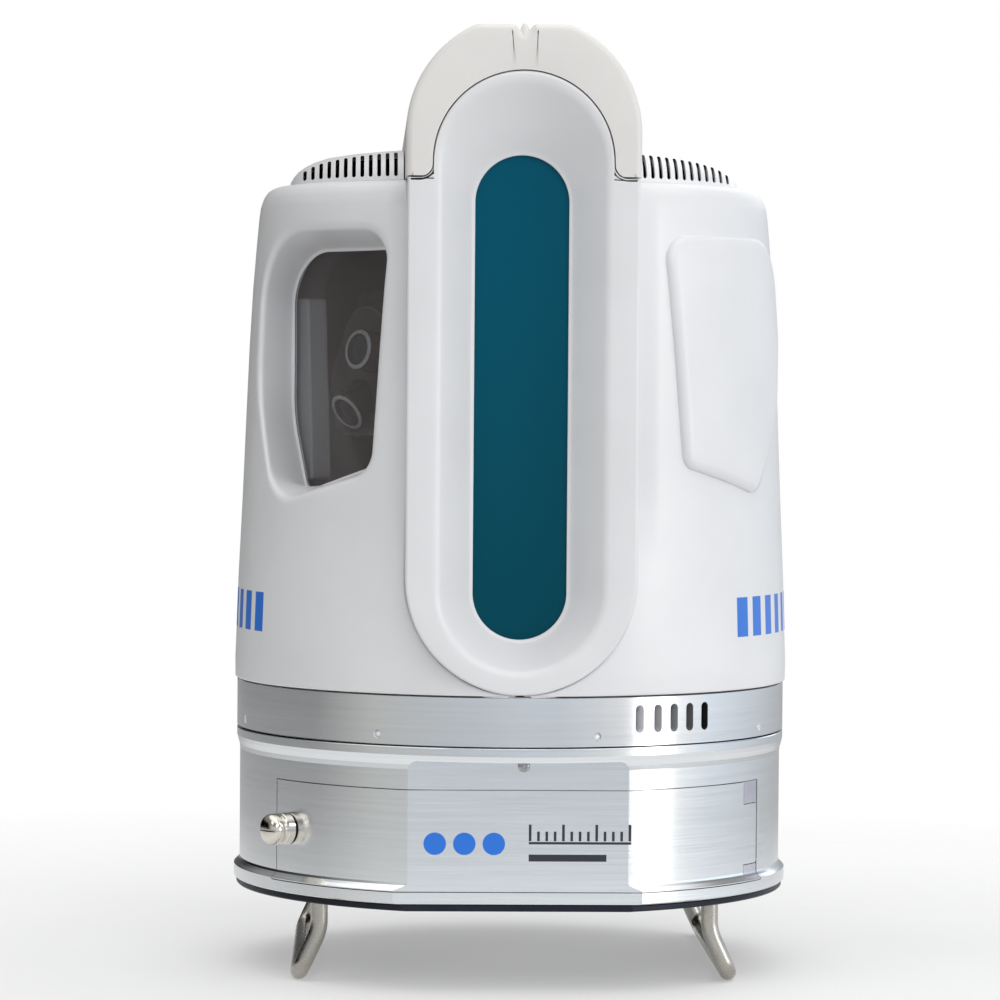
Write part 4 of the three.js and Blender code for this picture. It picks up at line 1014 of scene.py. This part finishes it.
def make_cap():
    """A constant section that runs the whole depth, cut round the bezel's neck at the front."""
    flat = math.sqrt(CAP_R ** 2 - (CAP_TOP - CAP_ARC_Z) ** 2)
    turn = math.degrees(math.atan2(CAP_TOP - CAP_ARC_Z, flat))
    side = [(CAP_R, z) for z in np.linspace(CAP_LOW, CAP_ARC_Z, 12)[:-1]]
    side += [tuple(p) for p in arc(0, CAP_ARC_Z, CAP_R, 0, turn - 2.2, 56)]
    corner = np.array((flat, CAP_TOP))
    side += [tuple(p) for p in bezier(np.array(side[-1]), corner, np.array((flat - 2.2, CAP_TOP)), 6)[1:]]
    side += [(x, CAP_TOP) for x in np.linspace(flat - 2.2, 4.4, 10)[1:]]
    groove = np.array([(4.4, CAP_TOP), (3.6, CAP_TOP), (3.1, CAP_TOP - 0.6)])
    side += [tuple(p) for p in bezier(*groove, 5)[1:]]
    side += [(2.0, CAP_TOP - 1.8), (0.5, CAP_TOP - 3.6), (0.0, CAP_TOP - 3.9)]
    side = np.array(side)
    outer = np.concatenate([side, (side * (-1, 1))[-2::-1]])
    neck = NECK_HALF + 0.35
    corner_r = NECK_CORNER - 0.35
    start = math.degrees(math.acos(-math.sqrt(corner_r ** 2 - (307.2 - CAP_LOW) ** 2) / corner_r))
    inner_path = [(CAP_R - 1.5, CAP_LOW), (38.3 + corner_r * math.cos(math.radians(start)) + 0.3, CAP_LOW)]
    inner_path += [(38.3 + corner_r * math.cos(a), 307.2 + corner_r * math.sin(a))
                   for a in np.radians(np.linspace(-start, -180, 9))]
    inner_path += [tuple(p) for p in arc(0, NECK_ARC_Z, neck, 0, 90, 60)]
    inner_half = np.array(inner_path)
    lengths = np.concatenate([[0], np.cumsum(np.linalg.norm(np.diff(inner_half, axis=0), axis=1))])
    share = np.linspace(0, lengths[-1], len(side))
    inner_half = np.stack([np.interp(share, lengths, inner_half[:, i]) for i in (0, 1)], 1)
    inner = np.concatenate([inner_half, (inner_half * (-1, 1))[-2::-1]])
    bottom = np.stack([outer[:, 0] * 0.97, np.full(len(outer), CAP_LOW)], 1)
    count = len(outer)

    def drawn_in(by):
        path = np.concatenate([outer[:1] - (0, 1), outer, outer[-1:] - (0, 1)])
        along = path[2:] - path[:-2]
        along /= np.maximum(np.linalg.norm(along, axis=1), 1e-9)[:, None]
        made = outer + by * np.stack([-along[:, 1], along[:, 0]], 1)
        made[:, 1] = np.maximum(made[:, 1], CAP_LOW)
        return made

    def section(path, inside, y):
        return at_depth(np.concatenate([path, inside[::-1]]), y)

    front, rear, neck_end = SPINE_FRONT, SPINE_REAR, SPINE_FRONT + MOULDING + 1
    rings = rolled(lambda by, y: section(drawn_in(by), inner, y), 2.6, front, 1, 8)[::-1]
    rings += [section(outer, inner, neck_end - 0.1), section(outer, bottom, neck_end)]
    rings += rolled(lambda by, y: section(drawn_in(by), bottom, y), 3.0, rear, -1, 8)
    size = 2 * count
    faces = []
    for i in range(len(rings) - 1):
        faces += quads(size, i * size, (i + 1) * size)
    for start_at in (0, (len(rings) - 1) * size):
        faces += [(start_at + k, start_at + k + 1, start_at + size - 2 - k, start_at + size - 1 - k)
                  for k in range(count - 1)]
    body = as_object("cap_moulding", np.concatenate(rings), faces)
    finished(smooth(body, 40), "top_cap")
    sight = turned("sight_cone", [
        (0.01, 352.6), (2.9, 352.6), (2.85, 353.2), (2.4, 354.4), (1.95, 355.8), (1.5, 357.2), (1.1, 358.2),
        (0.7, 358.8), (0.3, 359), (0.01, 359),
    ], 48)
    finished(smooth(moved(sight, 0, -107, 0), 45), "front_sight")


# ---- Vent covers ----
def dome_height(radius):
    table = sorted(DOME)
    return float(np.interp(radius, [r for r, _ in table], [z for _, z in table]))


def half_dome(name, profile, inner, floor_z, materials=()):
    """A dome's part beyond x = inner, closed by a flat wall and a floor."""
    rings = []
    for r, z in [(profile[0][0], floor_z), *profile]:
        edge = math.degrees(math.asin(min(inner / r, 1)))
        rings.append([(*around(a, r), z) for a in np.linspace(edge, 180 - edge, 97)])
    rings = [np.array(ring) for ring in rings]
    size = len(rings[0])
    points = list(np.concatenate(rings))
    faces = []
    for i in range(len(rings) - 1):
        faces += quads(size, i * size, (i + 1) * size, False)
    wall = [i * size for i in range(len(rings))] + [i * size + size - 1 for i in reversed(range(len(rings)))]
    faces += [tuple(wall), tuple(range(size))]
    return as_object(name, points, faces, materials)


def make_vents():
    for name, side in (("vent_cover_left", -1), ("vent_cover_right", 1)):
        white = MATERIALS["white_moulding"]
        # The cover's inside is near-black painted shade, so that its slots read dark; the slots' own sides
        # stay white.
        cover = half_dome(name + "_dome", DOME, 44.0, 302.8, (white, PAINTED_SHADE_INSIDE))
        inside = [(r - 2.4, z - 2.3) for r, z in DOME[1:-1]] + [(46.52, 313.9)]
        hollow = half_dome("hollow", inside, 46.4, 300.0, (PAINTED_SHADE_INSIDE,))
        boolean(cover, hollow)
        for i in range(12):
            x = 46.9 + 3.17 * i
            top = dome_height(x) - 2.6
            shape = stadium(0.72, 304.9, top - 0.7, 8) + (x, 0)
            near = math.sqrt(max(69 ** 2 - x ** 2, 100))
            slot = turn_to_y(prism("slot", shape, near, 100, (white,)))
            boolean(cover, slot)
        if side < 0:
            cover.data.transform(Matrix.Scale(-1, 4, (1, 0, 0)))
            cover.data.flip_normals()
        finished(smooth(cover, 28), name)


# ---- Rear panel, screen and keys ----
def make_rear():
    half = [(x, z) for x, z in arc(0, SPINE_ARC_Z, SPINE_HALF, -90, 0, 40)]
    half += [(SPINE_HALF, z) for z in np.linspace(SPINE_ARC_Z, BEZEL_TOP, 40)[1:]]
    half += [(x, BEZEL_TOP) for x in np.linspace(SPINE_HALF, 0, 12)[1:]]
    outline = whole(np.array(half))
    front, rear = SPINE_REAR - MOULDING, SPINE_REAR
    rings = [at_depth(outline, front)]
    rings += rolled(lambda by, y: at_depth(inset(outline, by), y), 1.4, rear, -1, 7)
    panel = loft("rear_moulding", rings)
    room = whole(np.array([*arc(0, SPINE_ARC_Z, 39.8, -90, 0, 30), (39.8, 299.2), (0, 299.2)]))
    boolean(panel, loft("room", [at_depth(room, front - 2), at_depth(room, rear - 3)]))
    screen = box_outline(-SCREEN["half"], SCREEN["half"], SCREEN["low"], SCREEN["high"], 4, 10)
    boolean(panel, loft("screen", [at_depth(screen, 90), at_depth(screen, 120)]))
    for x in KEYS.values():
        hole = arc(x, KEY_Z, KEY_R + 0.3, 0, 360, 49)[:-1]
        boolean(panel, loft("hole", [at_depth(hole, 90), at_depth(hole, 120)]))
    finished(smooth(panel, 30), "rear_panel")
    glass = box_outline(-29.7, 29.7, SCREEN["low"] + 0.3, SCREEN["high"] - 0.3, 3.7, 10)
    rings = [at_depth(glass, 105.8), at_depth(glass, 108), at_depth(inset(glass, 0.4), 108.4)]
    finished(smooth(loft("screen_glass", rings), 40), "display_glass", materials=[
        clear_pane("display_glass_dark", linear(14, 17, 20), 0.93, 0.05)])
    for name, x in KEYS.items():
        key = turned(name + "_cap", [
            (0.01, 102.2), (5.4, 102.2), (5.4, 104.6), (KEY_R, 104.6), (KEY_R, 109.2), (4.0, 109.7),
            (3.4, 110), (2.6, 109.9), (1.2, 109.6), (0.01, 109.5),
        ], 64)
        finished(smooth(moved(turn_to_back(key), x, 0, KEY_Z), 35), name)


# ---- Cameras behind the pane ----
def faced(obj):
    """Turns a body made with u, z and n as its X, Y and Z so that it faces out of the pocket."""
    return spun(turn_to_y(obj), POCKET_ANGLE)


def barrel_at(name, camera, profile, materials=()):
    """A body turned about a camera's own axis, which leans downwards by some degrees."""
    u, z, lean = camera
    obj = turned(name, profile, 96, materials)
    obj.data.transform(Matrix.Translation((u, z, CAMERA_N)) @ Matrix.Rotation(math.radians(lean), 4, "X"))
    return obj


def make_cameras():
    outline = spread(rounded(CAMERA_POD, 20), 1.5)
    levels = ((0, 56.5), (0, 65.2), (0.3, 65.7), (0.9, 66))
    rings = [[(x, y, n) for x, y in inset(outline, by)] for by, n in levels]
    pod = loft("camera_pod", rings, materials=(DARK_POD, MATERIALS["grey_plastic"]))
    # The pod's front chamfer gets the lighter grey as a painted highlight round its edge.
    for face in pod.data.polygons:
        if 65.1 < face.center.z < 65.99:
            face.material_index = 1
    plate = rounded(((1, 262, 10), (-28, 262, 10), (-34, 205, 8), (-2, 205, 8)), 10)
    boolean(pod, prism("plate", plate, 55, 57, (DARK_POD,)), "UNION")
    for camera in CAMERAS.values():
        boolean(pod, barrel_at("room", camera, [
            (0.01, -6.3), (CAMERA_ROOM_R, -6.3), (CAMERA_ROOM_R, 14), (0.01, 14)]))
    finished(smooth(faced(pod), 40), "camera_bracket")
    outline = spread(rounded(CAMERA_SHROUD, 12), 2)
    rings = [[(x, y, n) for x, y in inset(outline, by)] for by, n in ((0, 66.4), (0, 74.8), (0.8, 75.6))]
    finished(smooth(faced(loft("camera_screen", rings)), 40), "camera_shroud", materials=[SHROUD_GREY])
    profile = [
        (0.01, -6), (8, -6), (8, 2.6), (7.7, 2.9), (7.7, 3.5), (8, 3.8), (8, 5), (7.7, 5.7), (7, 6.2),
        (6.4, 6.3), (6.1, 6), (5.7, 4.6), (4.4, 5.1), (2.4, 5.6), (0.01, 5.8),
    ]
    for name, camera in CAMERAS.items():
        # Black barrel, lens glass, and a pale front rim that is a painted glint round the lens.
        finishes = (BARREL_BLACK, MATERIALS["lens_glass"], PALE_STEEL_AND_GLINT)
        barrel = barrel_at(name + "_barrel", camera, profile, finishes)
        axis = Vector((camera[0], camera[1], CAMERA_N))
        forward = Matrix.Rotation(math.radians(camera[2]), 3, "X") @ Vector((0, 0, 1))
        for face in barrel.data.polygons:
            reach = face.center - axis
            along = reach.dot(forward)
            across = (reach - along * forward).length
            if along > 4.5 and across < 5.8:
                face.material_index = 1
            elif along > 5.8 and across > 6.2:
                face.material_index = 2
        finished(smooth(faced(barrel), 40), name)


# ---- Printed marks, plain shapes with no lettering ----
def make_mark(name, shapes, place, material, body):
    """Thin raised prints: each shape is an outline in the surface's own two directions."""
    points, faces = [], []
    for outline in shapes:
        outline = spread(np.array(outline, float), 1.5)
        size, start, middle = len(outline), len(points), outline.mean(0)
        for height in (-MARK_SINK, MARK_LIFT):
            points += [place(a, b, height) for a, b in outline]
        points += [place(*middle, MARK_LIFT), place(*middle, -MARK_SINK)]
        faces += quads(size, start, start + size)
        faces += [(start + size + k, start + size + (k + 1) % size, start + 2 * size) for k in range(size)]
        faces += [(start + k, start + (k + 1) % size, start + 2 * size + 1) for k in range(size)]
    slot = "white_moulding" if body == "head" else "base_aluminium"
    finished(smooth(as_object(name, points, faces), 30), slot=slot, body=body, materials=[material])


def plain_bar(x, z, width, height):
    return [(x, z), (x + width, z), (x + width, z + height), (x, z + height)]


def make_marks():
    def on_housing(arc_length, z, lift):
        return (*around(math.degrees(arc_length / MARK_R), profile_radius(z) + lift), z)

    def on_pad(x, z, lift):
        return (x, PAD_Y - lift, z)

    right, left = MARK_R * math.radians(51), -MARK_R * math.radians(62) - 10.5
    for name, start, step in (("mark_right", right, MARK_PITCH), ("mark_left", left, -MARK_PITCH)):
        bars = [plain_bar(start + step * i, 131, 7.5 - i * 0.6, 15) for i in range(6)]
        make_mark(name, bars, on_housing, MARK_BLUE, "head")
    dots = [arc(x, 55.3, 4.2, 0, 360, 40)[:-1] for x in (-31, -20, -9)]
    make_mark("mark_front", dots, on_pad, MARK_BLUE, "door")
    ticks = [plain_bar(4 + 3.1 * i, 56.4, 1, 3.6 if i % 4 else 6.2) for i in range(13)]
    lines = [plain_bar(4, 55.2, 38.2, 0.9), plain_bar(4, 48.8, 29, 2.6)]
    make_mark("mark_scale", ticks + lines, on_pad, MARK_DARK, "door")


# ---- Carried-over parts get their materials ----
for node, obj in frame["nodes"].items():
    obj.data.materials.clear()
    obj.data.materials.append(MATERIALS[SLOT_OF[node]])

make_base()
make_door()
make_plate()
make_feet()
make_door_screw()
make_sockets()
make_ring()
make_housing(1)
make_housing(-1)
make_side_cover()
make_bezel()
make_cap()
make_vents()
make_rear()
make_cameras()
make_marks()


# ---- Floor, world and lights ----
def floor_material():
    """A plain pale floor whose far edge fades out into the studio."""
    n = Nodes("pale_floor")
    distance = n.add("ShaderNodeVectorMath", operation="LENGTH")
    n.link(n.object_coordinates, distance.inputs[0])
    n.feed(
        Base_Color=n.ramp(n.noise(3, 3), (0.48, 0.48, 0.48), (0.52, 0.52, 0.52)),
        Alpha=n.range(distance.outputs["Value"], 1.0, 0.0, 0.2, 0.6),
    )
    n.set(Roughness=0.8, Emission_Color=(1, 1, 1, 1), Emission_Strength=0.35)
    return n.material


floor_mesh = bpy.data.meshes.new("floor")
floor_mesh.from_pydata([(-6, -6, 0), (6, -6, 0), (6, 6, 0), (-6, 6, 0)], [], [(0, 1, 2, 3)])
floor_mesh.materials.append(floor_material())
floor = bpy.data.objects.new("floor", floor_mesh)
floor.location.z = -0.0003
bpy.context.scene.collection.objects.link(floor)

# The studio's panels: a bearing from the front towards +X in degrees, its brightness and its tint.
WORLD_LEVEL, BRIGHTEST = 0.74, 8.0
WARM, PLAIN, COOL = (1.0, 1.0, 0.92), (1.0, 1.0, 1.0), (0.9, 1.0, 1.12)
PANELS = (
    (-180, 0.2, PLAIN), (-150, 0.0, PLAIN), (-90, 0.0, PLAIN), (-60, 0.8, WARM), (-20, 1.0, COOL),
    (20, 1.2, COOL), (50, 1.8, PLAIN), (55, 8.0, PLAIN), (65, 8.0, PLAIN), (70, 2.6, PLAIN),
    (90, 2.0, COOL), (180, 0.2, PLAIN),
)
# Over the panels: where each layer starts and ends, as a direction's height, and its brightness. They are a
# dim band, the ceiling and the ground.
LAYERS = ((0.2, 0.42, 0.26), (0.66, 0.8, 1.35), (-0.02, -0.1, 0.45))


def studio():
    """A world that is white to the camera and lights the object with the panels."""
    world = bpy.data.worlds.new("studio")
    bpy.context.scene.world = world
    world.use_nodes = True
    n = Tree(world.node_tree)
    x, y, z = n.split(n.add("ShaderNodeTexCoord").outputs["Generated"])
    bearing = n.math("ARCTAN2", x, n.math("MULTIPLY", y, -1))
    ramp = n.add("ShaderNodeValToRGB")
    n.link(n.range(bearing, 0, 1, -math.pi, math.pi), ramp.inputs["Fac"])
    stops = ramp.color_ramp.elements
    for i, (degrees, level, tint) in enumerate(PANELS):
        place = (degrees + 180) / 360
        stop = stops[0] if i == 0 else stops[-1] if i == len(PANELS) - 1 else stops.new(place)
        stop.position = place
        stop.color = (*[WORLD_LEVEL * level * channel / BRIGHTEST for channel in tint], 1)
    layer = ramp.outputs["Color"]
    for start, end, level in LAYERS:
        layer = n.mix(n.range(z, 0, 1, start, end), layer, [level / BRIGHTEST] * 3)
    seen = n.add("ShaderNodeLightPath").outputs["Is Camera Ray"]
    background = n.tree.nodes["Background"]
    n.link(n.mix(seen, layer, [1 / BRIGHTEST] * 3), background.inputs["Color"])
    background.inputs["Strength"].default_value = BRIGHTEST


studio()


def area_light(name, place, size, power, aim=(0, 0, 0.18)):
    data = bpy.data.lights.new(name, "AREA")
    data.shape, data.energy = "RECTANGLE", power
    data.size, data.size_y = size
    light = bpy.data.objects.new(name, data)
    light.location = place
    light.rotation_mode = "QUATERNION"
    light.rotation_quaternion = (Vector(aim) - Vector(place)).to_track_quat("-Z", "Y")
    bpy.context.scene.collection.objects.link(light)


area_light("key", (0.75, -1.85, 1.5), (0.8, 0.8), 6)
area_light("front", (0.15, -2.2, 1.15), (0.6, 0.6), 6)
area_light("fill", (-1.5, -1.1, 1.3), (0.7, 0.7), 2.5)
area_light("top", (0, -0.3, 1.9), (1.4, 1.2), 3, (0, 0, 0.2))
area_light("back", (0.6, 1.8, 1.2), (1.4, 1.4), 6, (0, 0, 0.2))
